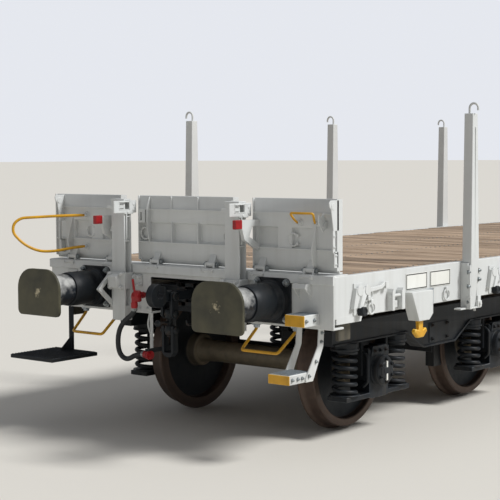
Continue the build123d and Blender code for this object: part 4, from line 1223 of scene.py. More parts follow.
class WAGON_OT_air_vessels(bpy.types.Operator):
    """Form the brake cylinder and the air reservoir with their straps"""

    bl_idname = "wagon.air_vessels"
    bl_label = "Air vessels"

    def execute(self, context):
        z, bearer_x = 906, 1486
        cylinder = Fitting()
        cylinder.lathe(
            (bearer_x - 240, 0, z), (1, 0, 0),
            [
                (0, 0), (0, 120), (6, 142), (22, 154), (40, 158), (436, 160), (438, 205), (448, 205),
                (450, 200), (453, 200), (455, 205), (465, 205), (467, 170), (490, 140), (540, 84),
                (552, 62), (560, 60), (560, 0),
            ],
            48,
        )
        cylinder.block((bearer_x + 6, bearer_x + 66), (-90, 90), (z + 60, z + 212))
        for k in range(8):
            angle = math.radians(22.5 + 45 * k)
            cylinder.lathe(
                (bearer_x + 190, 183 * math.cos(angle), z + 183 * math.sin(angle)), (1, 0, 0),
                [(0, 13), (44, 13), (44, 0)], 6,
            )
        cylinder.finish(
            "brake_cylinder_cast", "underframe", "olive", "black_paint", edge=0.002,
            replaces=("brake_cylinder",)
        )
        vessel = Fitting()
        vessel.lathe(
            (40 - 600, -760, z), (1, 0, 0),
            [
                (0, 0), (0, 40), (4, 90), (16, 134), (36, 168), (60, 188), (82, 196), (100, 197),
                (104, 200),
                (108, 197), (1092, 197), (1096, 200), (1100, 197), (1118, 196), (1140, 188), (1164, 168),
                (1184, 134), (1196, 90), (1200, 40), (1200, 0),
            ],
            48,
        )
        vessel.block((6, 66), (-880, -640), (z + 122, z + 212))
        for x in (-260, 300):
            vessel.lathe((x, -760, z), (1, 0, 0), [(0, 190), (0, 200), (50, 200), (50, 190)], 48)
        vessel.finish(
            "air_reservoir_welded", "underframe", "olive", "black_paint", edge=0,
            replaces=("air_reservoir",)
        )
        return {"FINISHED"}


class WAGON_OT_deck(bpy.types.Operator):
    """Lay the deck planks one by one and bolt them down"""

    bl_idname = "wagon.deck"
    bl_label = "Deck planks"

    def execute(self, context):
        low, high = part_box("deck_planks")
        pitch = sizes().plank_pitch * 1000
        count = round((high.x - low.x) * 1000 / pitch)
        first = -pitch * (count - 1) / 2
        plank = Fitting()
        half, thick = pitch / 2 - 3, (high.z - low.z) * 1000
        outline = [
            (-half, -thick), (half, -thick), (half, -5), (half - 1.5, -1.5), (half - 5, 0),
            (-half + 5, 0), (-half + 1.5, -1.5), (-half, -5),
        ]
        plank.prism([(x / 1000, z / 1000) for x, z in outline], "Y", (low.y, high.y))
        bmesh.ops.recalc_face_normals(plank.mesh, faces=plank.mesh.faces)
        mesh = bpy.data.meshes.new("plank")
        plank.mesh.to_mesh(mesh)
        plank.mesh.free()
        source = bpy.data.objects.new("plank", mesh)
        context.scene.collection.objects.link(source)
        lift = [0, -1.5, -3, -0.5, -2.2, -1, -3.5]
        places = [(first + pitch * n, 0, DECK_TOP + lift[n * 5 % 7]) for n in range(count)]
        grow(
            points_object("deck_planks_laid", places, [(0, 0, 1)] * count),
            scatter_tree(),
            {"Shape": source, "Size": 1.0, "Paint": finish("planks")},
            "underframe",
            ("deck_planks",),
        )
        bpy.data.objects.remove(source)
        seats = [
            ((first + pitch * n + shift, y, DECK_TOP - 3), (0, 0, 1))
            for n in range(count)
            for y in (-1290, -345, 345, 1290)
            for shift in (-38, 38)
        ]
        fasteners("deck_coach_bolts", "underframe", "cap", 0.014, seats, "bolt", ends=False)
        return {"FINISHED"}


class WAGON_OT_flap_fittings(bpy.types.Operator):
    """Add the rings, catches, bosses and edge plates of the end flaps"""

    bl_idname = "wagon.flap_fittings"
    bl_label = "Flap fittings"

    def ring(self, part, y):
        """A bent eye that stands off the pressed field, open towards the other side, on two feet."""
        part.arc((FLAP_FACE_X + 4, y, 1508), 44, 7, -140, 140, plane="YZ")
        for angle in (-140, 140):
            foot_y = y + 44 * math.cos(math.radians(angle))
            foot_z = 1508 + 44 * math.sin(math.radians(angle))
            part.block(
                (FLAP_FACE_X - 2, FLAP_FACE_X + 28), (foot_y - 9, foot_y + 9), (foot_z - 9, foot_z + 9)
            )

    def middle(self):
        part = Fitting()
        for y in (-411, 411):
            self.ring(part, y)
        fin = [
            (FLAP_FACE_X + 2, 1788), (FLAP_FACE_X - 14, 1780), (FLAP_FACE_X - 40, 1700),
            (FLAP_FACE_X - 40, 1560), (FLAP_FACE_X - 16, 1440), (FLAP_FACE_X + 2, 1425),
        ]
        for y in (-462, 355):
            part.prism(fin, "Y", (y - 4, y + 4))
        for side in (-1, 1):
            for z in ((1588, 1607), (1667, 1690)):
                part.block((FLAP_FACE_X - 18, FLAP_FACE_X - 10), (side * 396, side * 458), z)
            for y in ((396, 428), (445, 458)):
                part.block((FLAP_FACE_X - 18, FLAP_FACE_X - 10), (side * y[0], side * y[1]), (1607, 1667))
            for y in (405, 450):
                part.block(
                    (FLAP_FACE_X - 11, FLAP_FACE_X + 2), (side * (y - 4), side * (y + 4)), (1592, 1686)
                )
            part.prism(
                [(side * 470, 1330), (side * 462, 1330), (side * 432, 1300), (side * 442, 1300)],
                "X", (FLAP_FACE_X - 8, FLAP_FACE_X + 12),
            )
        return part

    def outer(self, side):
        """The fittings of the outer flap on one side of the wagon."""
        part = Fitting()
        y = side * 1000
        self.ring(part, y)
        plate_y = (1378, 1386) if side < 0 else (1291, 1299)
        plate_y = tuple(side * v for v in plate_y)
        part.prism(
            [
                (FLAP_FACE_X + 8, 1787), (FLAP_FACE_X - 84, 1787), (FLAP_FACE_X - 104, 1772),
                (FLAP_FACE_X - 98, 1742), (FLAP_FACE_X - 80, 1728), (FLAP_FACE_X - 54, 1580),
                (FLAP_FACE_X + 8, 1580),
            ],
            "Y", plate_y,
        )
        middle = sum(plate_y) / 2
        part.lathe(
            (FLAP_FACE_X - 56, middle - 7, 1744), (0, 1, 0),
            [(0, 16), (0, 24), (14, 24), (14, 16)], 20,
        )
        part.block((FLAP_FACE_X - 60, FLAP_FACE_X - 34), plate_y, (1432, 1582))
        part.block((FLAP_FACE_X - 44, FLAP_FACE_X + 2), plate_y, (1330, 1432))
        part.block((FLAP_FACE_X - 50, FLAP_FACE_X), plate_y, (1424, 1440))
        for z in (1352, 1412, 1470, 1545):
            part.lathe(
                (FLAP_FACE_X - 24 if z < 1432 else FLAP_FACE_X - 47, middle, z), (0, side, 0),
                [(0, 9), (9, 9), (11, 6), (11, 0)], 8
            )
        if side < 0:
            part.prism(
                [
                    (FLAP_FACE_X - 98, 1692), (FLAP_FACE_X - 76, 1668), (FLAP_FACE_X - 34, 1702),
                    (FLAP_FACE_X - 34, 1672), (FLAP_FACE_X - 12, 1650), (FLAP_FACE_X + 2, 1650),
                    (FLAP_FACE_X + 2, 1600), (FLAP_FACE_X - 52, 1569), (FLAP_FACE_X - 106, 1640),
                ],
                "Y", (-1296, -1288),
            )
            part.prism(
                [
                    (FLAP_FACE_X - 62, 1606), (FLAP_FACE_X - 54, 1600), (FLAP_FACE_X - 14, 1634),
                    (FLAP_FACE_X - 22, 1642),
                ],
                "Y", (-1302, -1285),
            )
        return part

    def bosses(self, side):
        """Sleeves and nuts that hold the yellow handle's ends."""
        part = Fitting()
        if side > 0:
            places, bar = ((1040, 1630), (1040, 1386)), LONG_BAR
        else:
            places, bar = ((-1065, 1628), (-1215, 1628)), SHORT_BAR
        for y, z in places:
            part.lathe(
                (FLAP_FACE_X + 4, y, z), (-1, 0, 0),
                [
                    (0, bar + 18), (8, bar + 18), (11, bar + 14), (11, bar + 7), (38, bar + 6),
                    (41, bar + 3), (41, bar + 0.5), (2, bar + 0.5)
                ],
                24,
            )
        return part

    def stub(self, side):
        """The red cap on the end of the forked stub."""
        part = Fitting()
        part.block((FLAP_FACE_X - 263, FLAP_FACE_X - 191), (side * 671, side * 705), (1579, 1643))
        return part

    def execute(self, context):
        for end, turned in (("front", False), ("rear", True)):
            near, far = (("near", "far") if end == "front" else ("far", "near"))
            for place, part, body in (
                ("middle", self.middle(), f"{end}_middle_flap"),
                (near, self.outer(-1), f"{end}_{near}_flap"),
                (far, self.outer(1), f"{end}_{far}_flap"),
                (near + "_bosses", self.bosses(-1), f"{end}_{near}_flap"),
                (far + "_bosses", self.bosses(1), f"{end}_{far}_flap"),
            ):
                part.finish(
                    f"{end}_{place}_flap_fittings", body, "grey", "grey_paint", "grey_edge",
                    edge=0.0015, turned=turned,
                )
            for place, side in ((near, -1), (far, 1)):
                self.stub(side).finish(
                    f"{end}_{place}_stub_cap", f"{end}_{place}_flap", "red", "red_paint", edge=0.004,
                    turned=turned
                )
            rivets = [((FLAP_FACE_X - 12, y, 1781), (-1, 0, 0)) for y in (-131, 131)]
            flip = Matrix.Rotation(math.pi, 3, "Z") if turned else Matrix.Identity(3)
            fasteners(
                f"{end}_middle_flap_studs", f"{end}_middle_flap", "dome", 0.018,
                [(flip @ Vector(p), flip @ Vector(f)) for p, f in rivets], "grey", ends=False,
            )
        return {"FINISHED"}


class WAGON_OT_post_fittings(bpy.types.Operator):
    """Add the bolts, latch boxes and hinge nuts of the end posts and headstocks"""

    bl_idname = "wagon.post_fittings"
    bl_label = "Post and headstock fittings"

    def execute(self, context):
        part = Fitting()
        front = POST_FRONT_X
        middle = (POST_INNER + POST_OUTER) / 2
        # Foot seam, and the stiffeners in the post's two open sides
        part.block((front - 2, HEADSTOCK_X), (-POST_OUTER - 2, -POST_INNER + 2), (952, 958))
        for y in ((POST_INNER + 2, middle - 14), (middle + 14, POST_OUTER - 2)):
            part.block((front + 13, HEADSTOCK_X - 13), y, (1446, 1456))
            part.block((front + 13, HEADSTOCK_X - 13), y, (1632, 1640))
        # Folded band under the ledge, cut where the posts stand
        ledge = [
            (HEADSTOCK_X + 2, LEDGE_TOP - 1), (HEADSTOCK_X - 14, LEDGE_TOP - 4),
            (HEADSTOCK_X - 16, LEDGE_TOP - 8),
            (HEADSTOCK_X - 16, LEDGE_TOP - 62), (HEADSTOCK_X - 12, LEDGE_TOP - 68),
            (HEADSTOCK_X + 2, LEDGE_TOP - 68),
        ]
        part.prism(ledge, "Y", (-SIDE_Y - 6, -POST_OUTER - 26))
        part.both_sides()
        part.prism(ledge, "Y", (-POST_INNER + 26, POST_INNER - 26))
        # Lug plates under the outer hinges, shallow where the long handle folds down past them
        for side, reach, foot in ((-1, 70, 1106), (1, 8, 1140)):
            lip = HEADSTOCK_X - reach
            for y in (side * 1096, side * 1196):
                part.prism(
                    [(HEADSTOCK_X + 1, 1222), (lip + 8, 1214), (lip, 1188), (HEADSTOCK_X + 1, foot)],
                    "Y", (y - 6, y + 6),
                )
            part.prism(
                [(lip + 10, 1216), (lip - 2, 1186), (lip + 6, 1180), (lip + 20, 1212)],
                "Y", sorted((side * 1096, side * 1196)),
            )
        part.both_ends()
        part.finish(
            "post_and_headstock_plates", "underframe", "grey", "grey_paint", "grey_edge", edge=0.002
        )

        latch = Fitting()
        start, end = HEADSTOCK_X - 195, HEADSTOCK_X + 45
        for root in (POST_INNER, -POST_OUTER):
            face = root - 12
            # Pressed rim round the window, the bolt bar under it and the three pivot heads
            for z in ((1686, 1692), (1744, 1750)):
                latch.block((start + 52, end - 72), (face - 2, face), z)
            for x in ((start + 52, start + 58), (end - 78, end - 72)):
                latch.block(x, (face - 2, face), (1686, 1750))
            latch.block((start + 4, start + 16), (root - 9, root + 70), (1700, 1722))
            latch.block((start + 8, front), (root, root + 8), (1700, 1722))
            for x, z in ((end - 30, 1728), (end - 30, 1684), (front + 34, 1668)):
                latch.lathe((x, face, z), (0, -1, 0), [(0, 11), (2, 11), (3, 9), (3, 0)], 16)
            # Chain plate that hangs from the latch beside the post
            latch.block((front + 16, front + 26), (face + 2, face + 10), (1462, 1660))
        latch.both_ends()
        latch.finish("post_latch_parts", "underframe", "grey", "grey_paint", "grey_edge", edge=0.001)

        feet = Fitting()
        for y in HINGE_YS:
            for low in (y - 46, y + 30):
                feet.prism(
                    [
                        (HEADSTOCK_X - 24, 1252), (HEADSTOCK_X - 16, 1277), (HEADSTOCK_X + 4, 1277),
                        (HEADSTOCK_X + 4, 1232), (HEADSTOCK_X - 8, 1232),
                    ],
                    "Y", (low, low + 16),
                )
            feet.rod((HEADSTOCK_X - 12, y - 52, 1259), (HEADSTOCK_X - 12, y + 52, 1259), 8, 16)
            for out in (-1, 1):
                feet.lathe(
                    (HEADSTOCK_X - 12, y + out * 46, 1259), (0, out, 0),
                    [(0, 16), (9, 16), (12, 12), (12, 0)], 6
                )
        feet.both_sides()
        feet.both_ends()
        feet.finish("hinge_feet", "underframe", "grey", "grey_paint", "grey_edge", edge=0.0015)

        seats = []
        for y in (POST_INNER + 8, POST_OUTER - 8):
            for z in (1100, 1200):
                seats.append(((front - 25, y, z), (-1, 0, 0)))
        for y in (402, 452):
            seats += [((HEADSTOCK_X - 15, y, z), (-1, 0, 0)) for z in (1122, 1180)]
        for y in (330, 420, 700, 1060):
            seats.append(((HEADSTOCK_X, y, 940), (-1, 0, 0)))
        fasteners(
            "post_collar_bolts", "underframe", "hexagon", sizes().bolt * 0.9, seats, "grey",
            sides=True
        )
        nuts = []
        for y in HINGE_YS:
            reach = 30 + 1.5 + 16
            for side in (-1, 1):
                nuts.append(((HINGE_X, y + side * reach, HINGE_Z), (0, side, 0)))
        fasteners("hinge_pin_nuts", "underframe", "hexagon", 0.026, nuts, "bolt", sides=True)
        return {"FINISHED"}


class WAGON_OT_buffers(bpy.types.Operator):
    """Form the buffer heads, plungers and casings"""

    bl_idname = "wagon.buffers"
    bl_label = "Buffers"

    def head(self, side):
        part = Fitting()
        outline = []
        for cy, cz, radius, start in (
            (185, -135, 40, -90), (75, 25, 150, 0), (-75, 25, 150, 90), (-185, -135, 40, 180)
        ):
            for k in range(9):
                angle = math.radians(start + 90 * k / 8)
                outline.append((cy + radius * math.cos(angle), cz + radius * math.sin(angle)))
        levels = [(BUFFER_X + 30, 0.985), (BUFFER_X + 26, 1.0), (BUFFER_X + 9, 1.0), (BUFFER_X + 5, 0.985)]
        levels += [(BUFFER_X + 4.5 * share**2, share) for share in (0.93, 0.8, 0.6, 0.4, 0.2)]
        rings = []
        for x, share in levels:
            rings.append(
                [
                    part.mesh.verts.new((x, side * BUFFER_Y + y * share, BUFFER_Z + z * share)) for y,
                    z in outline
                ]
            )
        part.mesh.faces.new(rings[0])
        part.mesh.faces.new(rings[-1])
        for low, high in zip(rings, rings[1:]):
            for k in range(len(outline)):
                m = (k + 1) % len(outline)
                part.mesh.faces.new((low[k], low[m], high[m], high[k]))
        return part

    def execute(self, context):
        for side in (-1, 1):
            for end, turned in (("front", False), ("rear", True)):
                name = f"{end}_{'near' if side < 0 else 'far'}_buffer_face"
                place = side * BUFFER_Y * (-1 if turned else 1)
                self.head(side).finish(
                    name, "underframe", greasy_buffer_face(f"greasy_forged_buffer_{name}", place),
                    "buffer_steel",
                    edge=0, turned=turned,
                )
        plunger = Fitting()
        plunger.lathe(
            (BUFFER_X + 30, -BUFFER_Y, BUFFER_Z), (1, 0, 0),
            [
                (0, 0), (0, 133), (4, 136), (14, 135), (22, 124), (34, 117), (236, 117), (242, 113),
                (262, 113), (262, 0),
            ],
            56,
        )
        plunger.both_sides()
        plunger.both_ends()
        plunger.finish(
            "buffer_plungers", "underframe", "sleeve", "buffer_steel", edge=0, replaces=("buffer_heads",)
        )
        casing = Fitting()
        start = HEADSTOCK_X - 330
        casing.lathe(
            (start, -BUFFER_Y, BUFFER_Z), (1, 0, 0),
            [
                (0, 100), (0, 121), (4, 126), (18, 127), (22, 129), (60, 130), (200, 130), (208, 126),
                (222, 126), (230, 130), (262, 132), (270, 143), (282, 145), (290, 137), (312, 146),
                (312, 100),
            ],
            56,
        )
        base = 160
        outline = []
        for cy, cz, start_angle in ((1, -1, -90), (1, 1, 0), (-1, 1, 90), (-1, -1, 180)):
            for k in range(5):
                angle = math.radians(start_angle + 90 * k / 4)
                outline.append(
                    (
                        -BUFFER_Y + cy * (base - 34) + 34 * math.cos(angle),
                        BUFFER_Z + cz * (base - 34) + 34 * math.sin(angle)
                    )
                )
        casing.prism(outline, "X", (HEADSTOCK_X - 20, HEADSTOCK_X - 0.2))
        for angle in (45, 135, 225, 315):
            turn = math.radians(angle)
            y, z = -BUFFER_Y + 122 * math.cos(turn), BUFFER_Z + 122 * math.sin(turn)
            casing.prism(
                [(HEADSTOCK_X - 20, z - 8), (HEADSTOCK_X - 110, BUFFER_Z + 92 * math.sin(turn) - 8),
                 (HEADSTOCK_X - 110, BUFFER_Z + 92 * math.sin(turn) + 8), (HEADSTOCK_X - 20, z + 8)],
                "Y", (y - 8, y + 8),
            )
        casing.both_sides()
        casing.both_ends()
        casing.finish(
            "buffer_casings_formed", "underframe", "black", "black_paint", "black_edge", 0.002,
            replaces=("buffer_casings",)
        )
        seats = [
            ((HEADSTOCK_X - 20, BUFFER_Y + a * 128, BUFFER_Z + b * 128), (-1, 0, 0))
            for a in (-1, 1)
            for b in (-1, 1)
        ]
        fasteners(
            "buffer_base_bolts", "underframe", "hexagon", sizes().bolt * 1.2, seats, "bolt",
            sides=True
        )
        return {"FINISHED"}


class WAGON_OT_drawgear(bpy.types.Operator):
    """Add the coupling thread, collars and the hook's fittings"""

    bl_idname = "wagon.drawgear"
    bl_label = "Drawgear"

    def execute(self, context):
        places = [(sign * COUPLING_X, 0, HOOK_Z - 296) for sign in (1, -1)]
        grow(
            points_object("coupling_thread", places),
            coil_tree(),
            {
                "Turns": 20.0, "Coil radius": 0.0205, "Bar radius": 0.0032, "Height": 0.20,
                "Steps a turn": 16, "Bar sides": 5, "Paint": finish("forged"),
            },
            "underframe",
        )
        screw = Fitting()
        upper, lower = HOOK_Z - 130, HOOK_Z - 250
        middle = (upper + lower) / 2
        screw.rod((COUPLING_X, 0, lower - 50), (COUPLING_X, 0, upper + 40), 19.5, 24)
        for z in (upper, lower):
            screw.lathe(
                (COUPLING_X, -33, z), (0, 1, 0),
                [(0, 0), (0, 24), (5, 30), (61, 30), (66, 24), (66, 0)], 28,
            )
            screw.rod((COUPLING_X, -64, z), (COUPLING_X, 64, z), 16.8, 24)
        screw.rod((COUPLING_X, 0, middle), (COUPLING_X - 104, 0, middle), 9, 16)
        ball = [
            (26 - 26 * math.cos(math.radians(a)), 26 * math.sin(math.radians(a))) for a in range(0, 181, 15)
        ]
        screw.lathe((COUPLING_X - 125 - 26, 0, middle), (1, 0, 0), ball, 24)
        screw.both_ends()
        screw.finish(
            "coupling_screws_turned", "underframe", "forged", "black_paint", edge=0,
            replaces=("coupling_screws",)
        )
        part = Fitting()
        for z in (upper, lower):
            part.lathe((COUPLING_X, -57, z), (0, -1, 0), [(0, 27), (12, 27), (14, 23), (14, 0)], 20)
            part.lathe((COUPLING_X, 57, z), (0, 1, 0), [(0, 27), (12, 27), (14, 23), (14, 0)], 20)
            part.lathe(
                (COUPLING_X, 0, z - 34), (0, 0, 1),
                [(0, 26), (0, 33), (6, 36), (62, 36), (68, 33), (68, 26)], 24
            )
        part.lathe((COUPLING_X, -60, HOOK_Z), (0, -1, 0), [(0, 33), (10, 33), (14, 27), (14, 0)], 20)
        part.lathe((COUPLING_X, 60, HOOK_Z), (0, 1, 0), [(0, 33), (10, 33), (14, 27), (14, 0)], 20)
        # Guide frame of the hook's shank
        part.block((HEADSTOCK_X + 96, HEADSTOCK_X + 119), (-120, -40), (HOOK_Z - 95, HOOK_Z + 75))
        part.block((HEADSTOCK_X + 96, HEADSTOCK_X + 119), (40, 120), (HOOK_Z - 95, HOOK_Z + 75))
        part.block((HEADSTOCK_X + 96, HEADSTOCK_X + 119), (-120, 120), (HOOK_Z + 45, HOOK_Z + 75))
        part.block((HEADSTOCK_X + 96, HEADSTOCK_X + 119), (-120, 120), (HOOK_Z - 95, HOOK_Z - 65))
        # Bow's rest hook under the headstock
        part.pipe(
            [
                (HEADSTOCK_X + 100, -90, 905), (HEADSTOCK_X + 30, -90, 850), (HEADSTOCK_X - 30, -90, 850),
                (HEADSTOCK_X - 40, -90, 890)
            ],
            9, 25, 10,
        )
        part.both_ends()
        part.finish("coupling_collars", "underframe", "forged", "black_paint", edge=0.0015)
        seats = [
            ((HEADSTOCK_X + 96, a * 100, HOOK_Z + b), (-1, 0, 0)) for a in (-1, 1) for b in (-80, 0, 60)
        ]
        fasteners("draw_guide_bolts", "underframe", "hexagon", sizes().bolt, seats, "forged")
        return {"FINISHED"}


class WAGON_OT_brake_ends(bpy.types.Operator):
    """Form the end cocks, hoses and their holders"""

    bl_idname = "wagon.brake_ends"
    bl_label = "Brake cocks and hoses"

    def hose(self, end, route):
        """A rubber hose hung from its cock and hooked up on the dummy holder."""
        curve = bpy.data.curves.new(f"{end}_brake_hose", "CURVE")
        curve.dimensions = "3D"
        spline = curve.splines.new("NURBS")
        spline.points.add(len(route) - 1)
        for point, place in zip(spline.points, route):
            point.co = (*place, 1.0)
        spline.order_u = 3
        spline.use_endpoint_u = True
        spline.resolution_u = 14
        curve.bevel_depth = 0.019
        curve.bevel_resolution = 5
        curve.use_fill_caps = True
        curve.materials.append(finish("rubber"))
        hose = bpy.data.objects.new(f"{end}_brake_hose", curve)
        bpy.context.scene.collection.objects.link(hose)
        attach(hose, "underframe")
        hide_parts("brake_hoses")

    def execute(self, context):
        pipe_y, pipe_z = 345, 1020 + RAIL_HEAD
        cock_x, cock_y = HEADSTOCK_X - 130, pipe_y - 25
        outlet = Vector((cock_x - 20, pipe_y - 15, pipe_z - 90))
        cock = Fitting()
        cock.lathe(
            (HEADSTOCK_X, pipe_y, pipe_z), (-1, 0, 0),
            [
                (0, 17), (34, 17), (34, 25), (62, 25), (62, 21), (80, 21), (84, 30), (118, 32), (136, 31),
                (146, 22), (146, 0),
            ],
            24,
        )
        cock.lathe(
            (cock_x, cock_y, pipe_z - 42), (0, 0, 1),
            [(0, 26), (6, 33), (30, 34), (56, 34), (74, 30), (84, 24), (84, 0)], 24,
        )
        cock.lathe(
            outlet, (0, 0, 1), [(0, 23), (12, 26), (40, 26), (46, 22), (70, 22), (90, 26), (90, 0)], 24
        )
        cock.pipe(
            [
                (outlet.x, cock_y - 28, pipe_z + 2), (outlet.x, cock_y + 11, pipe_z + 45),
                (outlet.x, cock_y + 24, pipe_z + 128),
            ],
            9, 22, 12,
        )
        cock.both_ends()
        cock.finish(
            "brake_cocks_formed", "underframe", "red", "red_paint", edge=0.001, replaces=("brake_cocks",)
        )

        coupling = Vector((cock_x - 30, 224, above_rail_mm(594)))
        route = [
            outlet,
            Vector((outlet.x, outlet.y, outlet.z - 35)),
            Vector((outlet.x - 15, outlet.y + 90, above_rail_mm(834))),
            Vector((outlet.x - 25, outlet.y + 150, above_rail_mm(742))),
            Vector((outlet.x - 25, outlet.y + 150, above_rail_mm(592))),
            Vector((outlet.x - 20, outlet.y + 70, above_rail_mm(532))),
            Vector((coupling.x, coupling.y + 66, coupling.z)),
            coupling,
        ]
        for end, flip in (("front", 1), ("rear", -1)):
            self.hose(end, [Vector((p.x * flip, p.y * flip, p.z)) / 1000 for p in route])
        clamp = Fitting()
        for point, along in ((outlet, (0, 0, -1)), (coupling, (0, 1, 0))):
            clamp.lathe(point, along, [(0, 20), (0, 23.5), (9, 23.5), (11, 21.5), (20, 21.5), (20, 20)], 24)
        clamp.both_ends()
        clamp.finish("hose_clamps", "underframe", "bolt", "grey_paint", edge=0)
        head = Fitting()
        head.lathe(
            coupling + Vector((0, -0.4, 0)), (0, -1, 0),
            [(0, 22), (4, 26), (20, 27), (26, 23), (38, 23), (46, 31), (73, 31), (73, 0)], 24,
        )
        head.lathe(
            coupling + Vector((-14, -58, 0)), (-1, 0, 0), [(0, 28), (18, 28), (18, 22), (13, 20), (13, 0)],
            24
        )
        lip = [(-52, -16), (-22, -34), (-6, -34), (-6, 30), (-36, 30)]
        head.prism(
            [(coupling.x + a, coupling.z + b) for a, b in lip], "Y", (coupling.y - 72, coupling.y - 60)
        )
        head.both_ends()
        head.finish(
            "hose_heads", "underframe", "red", "red_paint", edge=0.001, replaces=("hose_couplings",)
        )
        holder_x, holder_y = HEADSTOCK_X + 120, coupling.y - 37
        hanger = Fitting()
        hanger.block(
            (coupling.x, holder_x), (holder_y - 8, holder_y + 8), (coupling.z + 12, coupling.z + 44)
        )
        hanger.block((holder_x, holder_x + 12), (holder_y - 28, holder_y + 28), (coupling.z + 12, 928))
        hanger.block(
            (coupling.x - 6, coupling.x + 6), (holder_y - 24, holder_y + 24),
            (coupling.z + 30, coupling.z + 44)
        )
        hanger.both_ends()
        hanger.finish("hose_holders", "underframe", "black", "black_paint", "black_edge", edge=0.002)
        bar = Fitting()
        bar.block((HEADSTOCK_X + 4, HEADSTOCK_X + 14), (292, 322), (640, 910))
        bar.pipe(
            [(HEADSTOCK_X + 16, 330, 905), (HEADSTOCK_X - 10, 330, 820), (HEADSTOCK_X + 20, 300, 700)], 7,
            30, 10
        )
        bar.both_ends()
        bar.finish("hose_guard_bars", "underframe", "grey", "grey_paint", "grey_edge", edge=0.0015)
        return {"FINISHED"}


class WAGON_OT_side_fittings(bpy.types.Operator):
    """Add the levers, rings, clips and signs along the side sills"""

    bl_idname = "wagon.side_fittings"
    bl_label = "Side sill fittings"

    def execute(self, context):
        out = -SIDE_Y
        part = Fitting()
        # Locking lever with its hooked handle, hung ring and the guide plates beside them
        part.prism(
            [(-8975, 1083), (-8945, 1083), (-8932, 1140), (-8790, 1152), (-8752, 1172), (-8712, 1166),
             (-8712, 1190), (-8760, 1198), (-8800, 1176), (-8962, 1166), (-8966, 1110)],
            "Y", (out - 34, out - 12),
        )
        part.block((-8752, -8712), (out - 40, out - 4), (1150, 1198))
        part.rod((-8958, out, 1096), (-8958, out - 40, 1096), 15, 16)
        part.arc((-8899, out - 16, 1022), 40, 7, 0, 360)
        part.block((-8915, -8883), (out - 26, out), (1052, 1082))
        for x in ((-8684, -8654), (-8560, -8520)):
            part.prism(
                [(x[0], 986), (x[1], 986), (x[1], 1120), (sum(x) / 2, 1142), (x[0], 1120)], "Y",
                (out - 52, out)
            )
        part.rod((-8690, out - 30, 1090), (-8510, out - 30, 1090), 12, 14)
        part.block((-8640, -8574), (out - 20, out), (1000, 1050))
        part.arc((-7884, out - 12, 1034), 40, 6, 0, 360)
        part.block((-7900, -7868), (out - 22, out), (1064, 1092))
        # Lower end step of the sill's flange
        part.prism([(-9299, 940), (-9004, 940), (-8984, 992), (-9299, 992)], "Y", (out - 0.5, out + 60))
        part.both_sides()
        part.both_ends()
        part.finish("sill_levers", "underframe", "grey", "grey_paint", "grey_edge", edge=0.002)

        clip = Fitting()
        low_x, high_x, low_z, high_z = -8203, -8066, 986, 1097
        for x in ((low_x, low_x + 6), (high_x - 6, high_x)):
            clip.block(x, (out - 10, out), (low_z, high_z))
        for z in ((low_z, low_z + 6), (high_z - 6, high_z)):
            clip.block((low_x, high_x), (out - 10, out), z)
        for k in range(1, 12):
            x = low_x + (high_x - low_x) * k / 12
            clip.block((x - 1.2, x + 1.2), (out - 8, out - 5), (low_z, high_z))
        for k in range(1, 10):
            z = low_z + (high_z - low_z) * k / 10
            clip.block((low_x, high_x), (out - 6.5, out - 3.5), (z - 1.2, z + 1.2))
        clip.both_sides()
        clip.both_ends()
        clip.finish("label_clips", "underframe", "zinc", "grey_paint", edge=0)

        lines = Fitting()
        for x0, x1 in ((-8436, -8149), (-8107, -7819)):
            z0, z1 = 1106, 1226
            for x in ((x0 + 4, x0 + 11), (x1 - 11, x1 - 4)):
                lines.block(x, (out - 5, out - 4), (z0 + 4, z1 - 4))
            for z in ((z0 + 4, z0 + 11), (z1 - 11, z1 - 4)):
                lines.block((x0 + 4, x1 - 4), (out - 5, out - 4), z)
        lines.both_sides()
        lines.both_ends()
        lines.finish("sign_borders", "underframe", "sign_line", "black_paint", edge=0)

        rollers = Fitting()
        for x in LASH_XS:
            rollers.lathe(
                (x + 8, out - 52, 1013), (0, -1, 0), [(0, 32), (3, 33), (6, 30), (6, 20), (2, 16), (2, 0)],
                20
            )
            rollers.lathe(
                (x + 8, out - 6, 1013), (0, -1, 0), [(0, 32.4), (44, 32.4), (46, 32), (46, 0), (0, 0)], 20
            )
        rollers.both_sides()
        rollers.finish("lashing_rollers", "underframe", "black", "black_paint", edge=0)

        eyes = Fitting()
        for x in LASH_XS:
            for shift in (-18, 74):
                eyes.lathe(
                    (x + shift, out - 22, 1158), (0, -1, 0), [(0, 19), (0, 36), (16, 36), (16, 19)], 24
                )
            eyes.arc((x + 112, out - 24, 1120), 32, 6, -150, 150)
        eyes.both_sides()
        eyes.finish("lashing_eyes", "underframe", "grey", "grey_paint", "grey_edge", edge=0.001)
        return {"FINISHED"}


